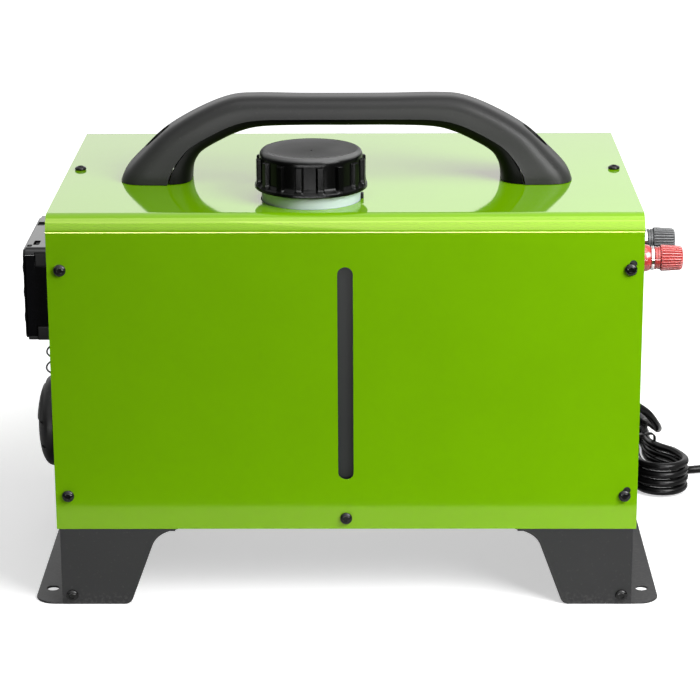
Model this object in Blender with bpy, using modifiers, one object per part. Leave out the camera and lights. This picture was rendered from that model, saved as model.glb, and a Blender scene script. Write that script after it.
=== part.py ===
"""Portable diesel heater: a sheet steel case on two bent feet, with a tank, a burner unit and a lead.

Metres, +Z up. The origin is on the ground, under the middle of the case.
The front of the case faces -Y, the warm air leaves at -X.
"""
import math

import bmesh
import bpy
import numpy as np
from mathutils import Matrix, Vector

# Clearances
TOUCH_GAP = 0.0003
RUN_GAP = 0.0003
HOLE_GAP = 0.0004
# How far a cutting shape runs past the face that it opens
PASS = 0.0040

# Case
CASE_WIDTH = 0.400
CASE_DEPTH = 0.272
CASE_BOTTOM = 0.056
CASE_HEIGHT = 0.222
CASE_BEND = 0.012
COVER_SHEET = 0.0012
PANEL_SHEET = 0.0015
BASE_SHEET = 0.0012
FLANGE_WIDTH = 0.016
BASE_FLANGE_HEIGHT = 0.016
BEND_STEPS = 4

# Sight slot in the cover
SLOT_WIDTH = 0.0106
SLOT_ABOVE_BOTTOM = 0.036
SLOT_BELOW_TOP = 0.035

# Case screws
SCREW_HEAD_RADIUS = 0.00415
SCREW_HEAD_HEIGHT = 0.0026
SCREW_SHANK_RADIUS = 0.0020
SCREW_SHANK_LENGTH = 0.0048
SCREW_RECESS_RADIUS = 0.0019
SCREW_RECESS_DEPTH = 0.0014
SCREW_SIDES = 8
SCREW_INSET = 0.0088
SCREW_BELOW_TOP = 0.0368
SCREW_ABOVE_BOTTOM = 0.0243
MIDDLE_SCREW_ABOVE_BOTTOM = 0.0080
TOP_SCREW_Y = 0.0035
KEYHOLE_RADIUS = 0.0026
KEYHOLE_RISE = 0.0037

# Feet
FOOT_SHEET = 0.0015
FOOT_FLANGE_OUT = 0.0177
FOOT_WEB_INSET = 0.0020
FOOT_FLANGE_CORNER = 0.014
FOOT_HOLE_RADIUS = 0.0038
FOOT_HOLE_OUT = 0.0077
FOOT_HOLE_INSET = 0.026
# Places on a foot's end plate, measured inwards from the case's side
GUSSET_LOW_INSET = 0.0455
GUSSET_SLANT_LOW = (0.0504, 0.0040)
GUSSET_SLANT_HIGH = (0.0659, 0.0440)
GUSSET_INNER_INSET = 0.0838
GUSSET_CORNER = 0.006
GUSSET_FLARE = 0.8
SHELF_INSET = 0.002
FOOT_SCREW_INSET = 0.0090
FOOT_SCREW_Z = 0.0068

# Carrying handle
HANDLE_Y = -0.021
HANDLE_STATIONS = (
    # outer x, outer rise over the case, inner x, inner rise, half width
    (0.000, 0.0594, 0.000, 0.0374, 0.0160),
    (0.032, 0.0595, 0.032, 0.0374, 0.0160),
    (0.063, 0.0604, 0.060, 0.0364, 0.0162),
    (0.082, 0.0583, 0.075, 0.0328, 0.0168),
    (0.104, 0.0496, 0.089, 0.0264, 0.0180),
    (0.127, 0.0360, 0.100, 0.0200, 0.0202),
    (0.143, 0.0212, 0.105, 0.0132, 0.0228),
    (0.1555, 0.0078, 0.107, 0.0055, 0.0250),
    (0.1600, -0.0030, 0.1075, -0.0035, 0.0262),
)
HANDLE_CLEAR_RISE = 0.067
HANDLE_WALL = 0.0032
HANDLE_HOLLOW_END = 0.090
HANDLE_SPLIT_GAP = 0.0004
HANDLE_ARC_POINTS = 5
HANDLE_ROUNDNESS = 2.7
HANDLE_STATIONS_PER_SPAN = 2
BOLT_HALF_SPAN = 0.1330
BOLT_POCKET_RADIUS = 0.0085
BOLT_SEAT_RISE = 0.0090
BOLT_HEAD_RADIUS = 0.0050
BOLT_HEAD_HEIGHT = 0.0060
BOLT_SHANK_RADIUS = 0.0030
BOLT_LENGTH = 0.0210

# Fuel tank, its neck and its cap
TANK_SIDE_CLEAR = 0.0175
SCREW_TIP_CLEAR = 0.0005
TANK_RIGHT = 0.120
TANK_DEPTH = 0.084
TANK_BELOW_TOP = 0.016
TANK_WALL = 0.003
TANK_EDGE = 0.010
NECK_X = -0.0235
NECK_FROM_FRONT = 0.048
NECK_RADIUS = 0.03375
NECK_SHOULDER_RISE = 0.0080
NECK_THREAD_RADIUS = 0.0312
NECK_THREAD_HEIGHT = 0.0194
NECK_BORE_RADIUS = 0.0255
GASKET_HEIGHT = 0.0016
CAP_RADIUS = 0.0362
CAP_FLANGE_RADIUS = 0.0385
CAP_FLANGE_HEIGHT = 0.0026
CAP_HEIGHT = 0.0263
CAP_DISC_RADIUS = 0.0335
CAP_EDGE = 0.0030
CAP_RIBS = 16
CAP_RIB_WIDTH = 0.0042
CAP_RIB_RADIUS = 0.0377
CAP_RIB_ROOT = 0.0012
CAP_RIB_TAPER = 0.8
CAP_VENT_RADIUS = 0.0012
OUTLET_SPIGOT_RADIUS = 0.0032
OUTLET_SPIGOT_LENGTH = 0.012
OUTLET_SPIGOT_RISE = 0.012

# Burner unit
HEATER_HALF = 0.052
HEATER_RISE = 0.004
HEATER_LEFT = -0.132
HEATER_RIGHT = 0.150
HEATER_WALL = 0.0022
HEATER_EDGE = 0.020
HEATER_PAD_HALF = 0.016
HEATER_PAD_X = 0.090
HEATER_COLLAR_RADIUS = 0.0380
HEATER_COLLAR_LENGTH = 0.012
EXCHANGER_LEFT = -0.124
EXCHANGER_RIGHT = 0.010
EXCHANGER_CORE_RADIUS = 0.034
EXCHANGER_BORE_RADIUS = 0.029
EXCHANGER_FINS = 14
EXCHANGER_FIN_THICKNESS = 0.0022
BURNER_TUBE_RADIUS = 0.024
BURNER_TUBE_WALL = 0.0015
BURNER_LENGTH = 0.095
BURNER_FLANGE_RADIUS = 0.033
BURNER_FLANGE_THICKNESS = 0.004
IMPELLER_RADIUS = 0.030
IMPELLER_LENGTH = 0.010
MOTOR_RADIUS = 0.024
MOTOR_LEFT = 0.032
MOTOR_RIGHT = 0.092
MOTOR_WEB = 0.004
SHAFT_RADIUS = 0.003
SHAFT_OVERHANG = 0.006
FAN_RADIUS = 0.042
FAN_LENGTH = 0.016
FAN_HUB_RADIUS = 0.016
FAN_BLADES = 9
FAN_BLADE_THICKNESS = 0.0016
FAN_PITCH = 34.0
BOARD_THICKNESS = 0.0120
BOARD_WIDTH = 0.046
BOARD_LENGTH = 0.052
EXHAUST_X = -0.070
INTAKE_X = -0.010
STUB_RADIUS = 0.012
STUB_BORE_RADIUS = 0.0105
STUB_LOW_Z = 0.022
DUCT_WALL = 0.0015

# Fuel pump and its lines
PUMP_RADIUS = 0.0135
PUMP_LENGTH = 0.062
PUMP_NOSE = 0.006
PUMP_TAPER = 0.010
PUMP_NIPPLE_RADIUS = 0.0028
PUMP_NIPPLE_LENGTH = 0.014
PUMP_X = 0.060
PUMP_RISE = 0.034
CLAMP_WALL = 0.0030
CLAMP_WIDTH = 0.018
LINE_RADIUS = 0.0024
LINE_END = 0.008
LINE_CLEAR = 0.018
LINE_BOW = 0.004
LINE_RISE = 0.008
LINE_SWEEP = 0.030
LINE_DIP = 0.006
LINE_START = 0.020
LINE_DROP = 0.003
LINE_TURN = 0.016
SUCTION_STEP = 0.0130
DELIVERY_STEP = 0.0090

# Warm air vent on the left panel
VENT_SHIFT = 0.022
VENT_RISE = 0.036
VENT_FLANGE_RADIUS = 0.0355
VENT_FLANGE_THICKNESS = 0.0030
VENT_FLANGE_EDGE = 0.0010
VENT_TUBE_RADIUS = 0.0315
VENT_TUBE_WALL = 0.0025
VENT_TUBE_REACH = 0.0125
VENT_TUBE_TAIL = 0.0120
HEAD_RADIUS = 0.0335
HEAD_WALL = 0.0024
HEAD_REACH = 0.0150
HEAD_SEAT = 0.0012
DOME_DEPTH = 0.0112
DOME_THICKNESS = 0.0026
DOME_RINGS = 4
LOUVRE_GAP = 0.0014
# (height from the axis, half width) of each louvre gap
LOUVRES = ((-0.0110, 0.0234), (-0.0245, 0.0144))
FLAP_LOW = 0.0075
FLAP_SIDE_GAP = 0.0010
FLAP_LIFT = 3.5
FLAP_HINGE_RISE = 0.0266
FLAP_PIN_RADIUS = 0.0016

# Air intake grille on the right panel
GRILLE_RADIUS = 0.0460
GRILLE_RIM = 0.0060
GRILLE_THICKNESS = 0.0030
GRILLE_BARS = 7
GRILLE_BAR_WIDTH = 0.0030
GRILLE_BAR_INSET = 0.0004
GRILLE_HOLE_RADIUS = 0.0400

# Controller on the left panel
CONTROLLER_FROM_FRONT = 0.0080
CONTROLLER_WIDTH = 0.0960
CONTROLLER_BELOW_TOP = 0.0240
CONTROLLER_HEIGHT = 0.0650
BRACKET_REACH = 0.0060
BRACKET_DROP = 0.0022
BRACKET_MARGIN = 0.0010
CONTROLLER_REACH = 0.0150
FACE_REACH = 0.0170
FACE_MARGIN = 0.0022
CONTROLLER_EDGE = 0.0040
SCREEN_WIDTH = 0.046
SCREEN_HEIGHT = 0.030
SCREEN_DEPTH = 0.0006
BUTTON_RADIUS = 0.0048
BUTTON_PROUD = 0.0013
BUTTON_LENGTH = 0.0030
BUTTON_TRAVEL = 0.0008
BUTTON_INSET = 0.0100
BUTTON_STEP = 0.0172

# Curly sensor lead below the controller
SENSOR_FROM_FRONT = 0.052
SENSOR_AXIS_OUT = 0.0068
SENSOR_CURL_RADIUS = 0.0050
SENSOR_WIRE_RADIUS = 0.00065
SENSOR_DROP = 0.0470
SENSOR_CURLS = 2
SENSOR_POINTS = 10
SENSOR_FLATNESS = 0.7
SENSOR_TOP_RUN = 0.006
SENSOR_END_RUN = 0.002
SENSOR_TAIL = 0.004

# Binding posts on the right panel
POST_BELOW_TOP = 0.0332
RED_POST_FROM_FRONT = 0.0165
POST_SPACING = 0.0477
POST_FLANGE_RADIUS = 0.0092
POST_FLANGE_REACH = 0.0055
POST_WASHER_RADIUS = 0.0082
POST_WASHER_THICKNESS = 0.0022
POST_STUD_RADIUS = 0.0030
POST_TAIL = 0.0120
POST_COLLAR_RADIUS = 0.0078
POST_COLLAR_LENGTH = 0.0038
POST_KNOB_RADIUS = 0.0089
POST_KNOB_TIP_RADIUS = 0.0082
POST_REACH = 0.0270
POST_KNOB_BORE = 0.0150
POST_STUD_INSET = 0.0070
POST_EDGE = 0.0010
POST_FLUTES = 15
POST_FLUTE_RADIUS = 0.00055

# Supply lead
CORD_RADIUS = 0.0031
CORD_FROM_BACK = 0.040
CORD_RISE = 0.0140
GROMMET_FLANGE_RADIUS = 0.0085
GROMMET_FLANGE_THICKNESS = 0.0025
GROMMET_NECK_RADIUS = 0.0060
GROMMET_TIP_RADIUS = 0.0042
GROMMET_REACH = 0.0100
GROMMET_TAIL = 0.0070
HANK_NEAR = (0.2432, 0.0950)
HANK_LENGTH = 0.100
HANK_LEAN = 13.0
HANK_LOBE_RADIUS = 0.0180
HANK_WAIST = 0.0075
HANK_LOOPS = 4
HANK_PITCH = 0.0067
HANK_LOBE_POINTS = 6
HANK_RUN_POINTS = 6
CORD_STEP = 0.0140
END_RUN = 0.0065
# Places that the lead passes on its way down to the hank, and from the hank to the plug
DROP_PLACES = (
    (0.2310, 0.0990, 0.0620),
    (0.2390, 0.1080, 0.0500),
    (0.2430, 0.1240, 0.0405),
    (0.2430, 0.1430, 0.0355),
    (0.2405, 0.1620, 0.0325),
    (0.2385, 0.1780, 0.0280),
)
TAIL_PLACES = (
    (0.2590, 0.1185, 0.0040),
    (0.2650, 0.1290, 0.0034),
    (0.2780, 0.1330, 0.0034),
    (0.2900, 0.1330, 0.0050),
    (0.3000, 0.1330, 0.0090),
    (0.3100, 0.1330, 0.0105),
    (0.3170, 0.1330, 0.0105),
)
TIE_THICKNESS = 0.0012
TIE_WIDTH = 0.0040
TIE_LIFT = 0.0001
PLUG_LENGTH = 0.062
PLUG_RADIUS = 0.0105
PLUG_NOSE_RADIUS = 0.0088
PLUG_TIP_RADIUS = 0.0040
PLUG_TAIL_RADIUS = 0.0044
PLUG_TIP_LENGTH = 0.004
PLUG_SHOULDER = 0.002
PLUG_TAIL_LENGTH = 0.004

# Places that follow from the sizes
FRONT_Y = -CASE_DEPTH / 2
CASE_TOP = CASE_BOTTOM + CASE_HEIGHT
SIDE_X = CASE_WIDTH / 2
PAN_HALF = SIDE_X - PANEL_SHEET - TOUCH_GAP
RING_INSET = COVER_SHEET + TOUCH_GAP
BASE_TOP = CASE_BOTTOM + BASE_SHEET
SLOT_LOW = CASE_BOTTOM + SLOT_ABOVE_BOTTOM
SLOT_HIGH = CASE_TOP - SLOT_BELOW_TOP
SCREW_SIDE = SIDE_X - SCREW_INSET
SCREW_TOP_Z = CASE_TOP - SCREW_BELOW_TOP
SCREW_LOW_Z = CASE_BOTTOM + SCREW_ABOVE_BOTTOM
SCREW_MIDDLE_Z = CASE_BOTTOM + MIDDLE_SCREW_ABOVE_BOTTOM
FOOT_REACH = SIDE_X + FOOT_FLANGE_OUT
FOOT_WEB_X = SIDE_X - FOOT_WEB_INSET
GUSSET_INNER_X = SIDE_X - GUSSET_INNER_INSET
BOLT_SEAT_Z = CASE_TOP + BOLT_SEAT_RISE
TANK_FRONT = FRONT_Y - TOUCH_GAP + SCREW_SHANK_LENGTH + SCREW_TIP_CLEAR
TANK_BACK = TANK_FRONT + TANK_DEPTH
# Behind the tank stand the burner unit and the pump, with these shares of the free depth before each
DEPTH_SHARES = (0.2489, 0.4344)
CLAMP_HALF = PUMP_RADIUS + TOUCH_GAP + CLAMP_WALL
FREE_DEPTH = CASE_DEPTH / 2 - COVER_SHEET - TANK_BACK - 2 * HEATER_HALF - 2 * CLAMP_HALF
HEATER_Y = TANK_BACK + DEPTH_SHARES[0] * FREE_DEPTH + HEATER_HALF
PUMP_Y = HEATER_Y + HEATER_HALF + DEPTH_SHARES[1] * FREE_DEPTH + CLAMP_HALF
TANK_LEFT = -(SIDE_X - PANEL_SHEET - FLANGE_WIDTH - TANK_SIDE_CLEAR)
TANK_TOP = CASE_TOP - TANK_BELOW_TOP
NECK_Y = TANK_FRONT + NECK_FROM_FRONT
NECK_SHOULDER_Z = CASE_TOP + NECK_SHOULDER_RISE
NECK_TOP_Z = NECK_SHOULDER_Z + NECK_THREAD_HEIGHT
OUTLET_SPIGOT_Z = CASE_BOTTOM + OUTLET_SPIGOT_RISE
HEATER_LOW = CASE_BOTTOM + HEATER_RISE
HEATER_Z = HEATER_LOW + HEATER_HALF
PUMP_Z = CASE_BOTTOM + PUMP_RISE
VENT_Y = HEATER_Y - VENT_SHIFT
VENT_Z = CASE_BOTTOM + VENT_RISE
CONTROLLER_FRONT = FRONT_Y + CONTROLLER_FROM_FRONT
CONTROLLER_BACK = CONTROLLER_FRONT + CONTROLLER_WIDTH
CONTROLLER_HIGH = CASE_TOP - CONTROLLER_BELOW_TOP
CONTROLLER_LOW = CONTROLLER_HIGH - CONTROLLER_HEIGHT
SENSOR_Y = CONTROLLER_FRONT + SENSOR_FROM_FRONT
SENSOR_LOW_Z = CONTROLLER_LOW - SENSOR_DROP
POST_Z = CASE_TOP - POST_BELOW_TOP
RED_POST_Y = FRONT_Y + RED_POST_FROM_FRONT
BLACK_POST_Y = RED_POST_Y + POST_SPACING
CORD_Y = CASE_DEPTH / 2 - CORD_FROM_BACK
CORD_Z = CASE_BOTTOM + CORD_RISE

GREEN = ("case_green", (0.27, 0.56, 0.012), 0.22, 0.0)
STEEL_BLACK = ("black_powder_coat", (0.030, 0.030, 0.032), 0.45, 0.0)
BLACK = ("black_plastic", (0.018, 0.018, 0.019), 0.38, 0.0)
GLOSS_BLACK = ("gloss_black_plastic", (0.008, 0.008, 0.009), 0.16, 0.0)
SCREW_BLACK = ("black_screw_steel", (0.020, 0.020, 0.022), 0.35, 0.6)
NATURAL = ("natural_tank_plastic", (0.78, 0.80, 0.80), 0.42, 0.0)
ALUMINIUM = ("cast_aluminium", (0.62, 0.62, 0.63), 0.40, 1.0)
STEEL = ("bright_steel", (0.60, 0.60, 0.61), 0.25, 1.0)
CHROME = ("chrome_plate", (0.85, 0.85, 0.86), 0.10, 1.0)
RUBBER = ("black_rubber", (0.022, 0.022, 0.023), 0.70, 0.0)
RED = ("red_plastic", (0.52, 0.020, 0.020), 0.25, 0.0)
GREY = ("grey_plastic", (0.16, 0.16, 0.17), 0.35, 0.0)
WIRE_GREY = ("grey_wire", (0.35, 0.35, 0.36), 0.45, 0.0)
SHEATH = ("cord_sheath", (0.035, 0.035, 0.037), 0.35, 0.0)
BOARD_GREEN = ("board_housing", (0.05, 0.05, 0.055), 0.5, 0.0)


def clear_scene():
    for item in list(bpy.data.objects):
        bpy.data.objects.remove(item, do_unlink=True)


def new_collection(name):
    collection = bpy.data.collections.new(name)
    bpy.context.scene.collection.children.link(collection)
    return collection


clear_scene()
PARTS = new_collection("portable_diesel_heater")
CUTTERS = new_collection("cutters")
CUTTERS.hide_render = True


def material(finish):
    name, colour, roughness, metallic = finish
    found = bpy.data.materials.get(name)
    if found:
        return found
    made = bpy.data.materials.new(name)
    made.use_nodes = True
    shader = made.node_tree.nodes["Principled BSDF"]
    shader.inputs["Base Color"].default_value = (*colour, 1.0)
    shader.inputs["Roughness"].default_value = roughness
    shader.inputs["Metallic"].default_value = metallic
    made.diffuse_color = (*colour, 1.0)
    return made


# Frames that turn a shape's own Z axis to the axis that it is made along
def along(axis):
    turns = {
        "X": Matrix(((0, 0, 1), (1, 0, 0), (0, 1, 0))),
        "-X": Matrix(((0, 0, -1), (-1, 0, 0), (0, 1, 0))),
        "Y": Matrix(((-1, 0, 0), (0, 0, 1), (0, 1, 0))),
        "-Y": Matrix(((1, 0, 0), (0, 0, -1), (0, 1, 0))),
        "Z": Matrix.Identity(3),
        "-Z": Matrix(((1, 0, 0), (0, -1, 0), (0, 0, -1))),
    }
    return turns[axis].to_4x4()


def add_object(name, mesh, finish, pivot=(0, 0, 0), smooth_angle=35):
    """One named piece whose mesh is given in world places, with its origin moved to pivot."""
    mesh.transform(Matrix.Translation(-Vector(pivot)))
    mesh.name = name
    item = bpy.data.objects.new(name, mesh)
    item.location = pivot
    mesh.materials.append(material(finish))
    mesh.shade_smooth()
    mesh.set_sharp_from_angle(angle=math.radians(smooth_angle))
    PARTS.objects.link(item)
    return item


def add_tool(name, mesh):
    """A helper solid for a Boolean."""
    item = bpy.data.objects.new(name, mesh)
    item.hide_render = True
    item.display_type = "WIRE"
    CUTTERS.objects.link(item)
    return item


def boolean(item, tool, operation="DIFFERENCE"):
    modifier = item.modifiers.new(operation.lower() + "_" + tool.name, "BOOLEAN")
    modifier.object = tool
    modifier.operation = operation
    modifier.solver = "EXACT"
    return item


def cut(item, *tools):
    for tool in tools:
        boolean(item, tool)
    return item


def join(item, *tools):
    for tool in tools:
        boolean(item, tool, "UNION")
    return item


def bevel(item, width, segments=2, angle=30):
    modifier = item.modifiers.new("rounded_edges", "BEVEL")
    modifier.width = width
    modifier.segments = segments
    modifier.limit_method = "ANGLE"
    modifier.angle_limit = math.radians(angle)
    modifier.use_clamp_overlap = True
    return item


def mesh_from(bm):
    bmesh.ops.recalc_face_normals(bm, faces=bm.faces)
    mesh = bpy.data.meshes.new("shape")
    bm.to_mesh(mesh)
    bm.free()
    return mesh


def box_mesh(low, high):
    bm = bmesh.new()
    size = [b - a for a, b in zip(low, high)]
    centre = [(a + b) / 2 for a, b in zip(low, high)]
    bmesh.ops.create_cube(bm, size=1.0, matrix=Matrix.Translation(centre) @ Matrix.Diagonal((*size, 1)))
    return mesh_from(bm)


def rounded_box_mesh(low, high, edge, segments=2):
    mesh = box_mesh(low, high)
    bm = bmesh.new()
    bm.from_mesh(mesh)
    bmesh.ops.bevel(bm, geom=bm.edges[:], offset=edge, segments=segments, profile=0.5, affect="EDGES")
    bpy.data.meshes.remove(mesh)
    return mesh_from(bm)


def rod_mesh(radius, start, end, segments=24):
    """A round bar between two places."""
    start, end = Vector(start), Vector(end)
    run = end - start
    turn = Vector((0, 0, 1)).rotation_difference(run).to_matrix().to_4x4()
    bm = bmesh.new()
    bmesh.ops.create_cone(
        bm,
        cap_ends=True,
        cap_tris=False,
        segments=segments,
        radius1=radius,
        radius2=radius,
        depth=run.length,
        matrix=Matrix.Translation((start + end) / 2) @ turn,
    )
    return mesh_from(bm)


def turned_mesh(profile, axis, centre, steps=32, closed=False):
    """A turned body: profile holds (radius, height) down its outer side, height along the axis."""
    mesh = bpy.data.meshes.new("profile")
    points = [(radius, 0, height) for radius, height in profile]
    edges = [(i, i + 1) for i in range(len(points) - 1)]
    if closed:
        edges.append((len(points) - 1, 0))
    mesh.from_pydata(points, edges, [])
    item = bpy.data.objects.new("profile", mesh)
    bpy.context.scene.collection.objects.link(item)
    screw = item.modifiers.new("turn", "SCREW")
    screw.steps = steps
    screw.render_steps = steps
    screw.use_merge_vertices = True
    screw.merge_threshold = 0.00001
    graph = bpy.context.evaluated_depsgraph_get()
    made = bpy.data.meshes.new_from_object(item.evaluated_get(graph))
    bpy.data.objects.remove(item)
    bpy.data.meshes.remove(mesh)
    bm = bmesh.new()
    bm.from_mesh(made)
    bpy.data.meshes.remove(made)
    bmesh.ops.remove_doubles(bm, verts=bm.verts, dist=0.00001)
    bmesh.ops.transform(bm, matrix=Matrix.Translation(centre) @ along(axis), verts=bm.verts)
    return mesh_from(bm)


def ring_profile(inner, outer, low, high):
    return [(outer, high), (outer, low), (inner, low), (inner, high)]


def flat_mesh(outlines, thickness, axis, centre):
    """A flat sheet from 2D outlines, the first its edge and the others holes, centred on a place."""
    curve = bpy.data.curves.new("outline", "CURVE")
    curve.dimensions = "2D"
    curve.fill_mode = "BOTH"
    curve.extrude = thickness / 2
    for outline in outlines:
        spline = curve.splines.new("POLY")
        spline.points.add(len(outline) - 1)
        spline.use_cyclic_u = True
        for point, (u, v) in zip(spline.points, outline):
            point.co = (u, v, 0, 1)
    item = bpy.data.objects.new("outline", curve)
    bpy.context.scene.collection.objects.link(item)
    graph = bpy.context.evaluated_depsgraph_get()
    made = bpy.data.meshes.new_from_object(item.evaluated_get(graph))
    bpy.data.objects.remove(item)
    bpy.data.curves.remove(curve)
    bm = bmesh.new()
    bm.from_mesh(made)
    bpy.data.meshes.remove(made)
    bmesh.ops.remove_doubles(bm, verts=bm.verts, dist=0.000005)
    bmesh.ops.transform(bm, matrix=Matrix.Translation(centre) @ along(axis), verts=bm.verts)
    return mesh_from(bm)


def tube_mesh(points, radius, resolution=2):
    """A round cord or pipe along points, with closed ends."""
    curve = bpy.data.curves.new("route", "CURVE")
    curve.dimensions = "3D"
    curve.bevel_depth = radius
    curve.bevel_resolution = resolution
    curve.use_fill_caps = True
    spline = curve.splines.new("POLY")
    spline.points.add(len(points) - 1)
    for point, place in zip(spline.points, points):
        point.co = (*place, 1)
    item = bpy.data.objects.new("route", curve)
    bpy.context.scene.collection.objects.link(item)
    graph = bpy.context.evaluated_depsgraph_get()
    made = bpy.data.meshes.new_from_object(item.evaluated_get(graph))
    bpy.data.objects.remove(item)
    bpy.data.curves.remove(curve)
    bm = bmesh.new()
    bm.from_mesh(made)
    bpy.data.meshes.remove(made)
    bmesh.ops.remove_doubles(bm, verts=bm.verts, dist=0.000005)
    return mesh_from(bm)


def smooth_route(points, step):
    """Points at even steps along the smooth curve through the route's own points."""
    places = [Vector(p) for p in points]
    fine = []
    for i in range(len(places) - 1):
        before = places[max(i - 1, 0)]
        start, end = places[i], places[i + 1]
        after = places[min(i + 2, len(places) - 1)]
        for k in range(24):
            t = k / 24
            fine.append(
                0.5
                * (
                    2 * start
                    + (end - before) * t
                    + (2 * before - 5 * start + 4 * end - after) * t * t
                    + (3 * start - before - 3 * end + after) * t ** 3
                )
            )
    fine.append(places[-1])
    lengths = [0.0]
    for a, b in zip(fine, fine[1:]):
        lengths.append(lengths[-1] + (b - a).length)
    count = max(2, round(lengths[-1] / step))
    even = []
    j = 0
    for i in range(count + 1):
        goal = lengths[-1] * i / count
        while j < len(lengths) - 2 and lengths[j + 1] < goal:
            j += 1
        share = (goal - lengths[j]) / max(lengths[j + 1] - lengths[j], 1e-9)
        even.append(fine[j].lerp(fine[j + 1], min(max(share, 0.0), 1.0)))
    return even


def square_ended(points, step):
    """A smooth route whose first and last stretches stay straight, so that its ends are square."""
    return [Vector(points[0]), *smooth_route(points[1:-1], step), Vector(points[-1])]


def route_length(points):
    return sum((b - a).length for a, b in zip(points, points[1:]))


def circle(radius, centre=(0.0, 0.0), count=24):
    return [
        (
            centre[0] + radius * math.cos(2 * math.pi * i / count),
            centre[1] + radius * math.sin(2 * math.pi * i / count),
        )
        for i in range(count)
    ]


def arc(centre, radius, start, end, steps):
    """Points on an arc, angles in degrees."""
    found = []
    for i in range(steps + 1):
        angle = math.radians(start + (end - start) * i / steps)
        found.append((centre[0] + radius * math.cos(angle), centre[1] + radius * math.sin(angle)))
    return found


def stadium(width, low, high, centre_x=0.0, steps=8):
    radius = width / 2
    return arc((centre_x, high - radius), radius, 0, 180, steps) + arc(
        (centre_x, low + radius), radius, 180, 360, steps
    )


def merged_mesh(*meshes):
    """Separate closed shapes in one mesh, for cutting or joining in one go."""
    bm = bmesh.new()
    for mesh in meshes:
        bm.from_mesh(mesh)
        bpy.data.meshes.remove(mesh)
    return mesh_from(bm)


def loft_mesh(sections):
    """A closed body through rings of points, one ring after the other, with flat ends."""
    bm = bmesh.new()
    rings = [[bm.verts.new(p) for p in section] for section in sections]
    count = len(rings[0])
    for a, b in zip(rings, rings[1:]):
        for i in range(count):
            j = (i + 1) % count
            bm.faces.new((a[i], a[j], b[j], b[i]))
    bm.faces.new(rings[0])
    bm.faces.new(rings[-1])
    bmesh.ops.recalc_face_normals(bm, faces=bm.faces)
    bmesh.ops.triangulate(bm, faces=bm.faces)
    return mesh_from(bm)


# Case: cover, base pan and end panels
def case_outline(inset, low_inset=None):
    """The case's end view (y, z), moved inwards, with its two upper bends."""
    low = CASE_BOTTOM + (inset if low_inset is None else low_inset)
    top = CASE_TOP - inset
    side = CASE_DEPTH / 2 - inset
    bend = CASE_BEND - inset
    return (
        [(-side, low), (side, low)]
        + arc((side - bend, top - bend), bend, 0, 90, BEND_STEPS)
        + arc((-side + bend, top - bend), bend, 90, 180, BEND_STEPS)
    )


def front_rod(x, z, radius):
    return rod_mesh(radius, (x, FRONT_Y - PASS, z), (x, FRONT_Y + PASS, z), 12)


def top_rod(x, y, radius):
    return rod_mesh(radius, (x, y, CASE_TOP - PASS), (x, y, CASE_TOP + PASS), 12)


def front_screw_places():
    return (
        ("upper_left", -SCREW_SIDE, SCREW_TOP_Z),
        ("upper_right", SCREW_SIDE, SCREW_TOP_Z),
        ("lower_left", -SCREW_SIDE, SCREW_LOW_Z),
        ("lower_right", SCREW_SIDE, SCREW_LOW_Z),
        ("lower_middle", 0.0, SCREW_MIDDLE_Z),
    )


def build_cover():
    outer = case_outline(0.0)[1:]
    inner = case_outline(COVER_SHEET, 0.0)[1:]
    outer.append((FRONT_Y, CASE_BOTTOM))
    inner.append((FRONT_Y + COVER_SHEET, CASE_BOTTOM))
    section = outer + inner[::-1]
    cover = add_object("cover", flat_mesh([section], CASE_WIDTH, "X", (0, 0, 0)), GREEN)
    hole = SCREW_SHANK_RADIUS + HOLE_GAP
    openings = [
        flat_mesh([stadium(SLOT_WIDTH, SLOT_LOW, SLOT_HIGH)], 2 * PASS, "-Y", (0, FRONT_Y, 0)),
        rod_mesh(
            NECK_RADIUS + 2 * HOLE_GAP,
            (NECK_X, NECK_Y, CASE_TOP - PASS),
            (NECK_X, NECK_Y, CASE_TOP + PASS),
            28,
        ),
    ]
    openings += [front_rod(x, z, hole) for _, x, z in front_screw_places()]
    openings += [top_rod(side * SCREW_SIDE, TOP_SCREW_Y, hole) for side in (-1, 1)]
    openings += [top_rod(side * BOLT_HALF_SPAN, HANDLE_Y, BOLT_SHANK_RADIUS + HOLE_GAP) for side in (-1, 1)]
    keyholes = [front_rod(SCREW_SIDE, z + KEYHOLE_RISE, KEYHOLE_RADIUS) for z in (SCREW_TOP_Z, SCREW_LOW_Z)]
    cut(
        cover,
        add_tool("cover_openings", merged_mesh(*openings)),
        add_tool("cover_keyholes", merged_mesh(*keyholes)),
    )


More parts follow.
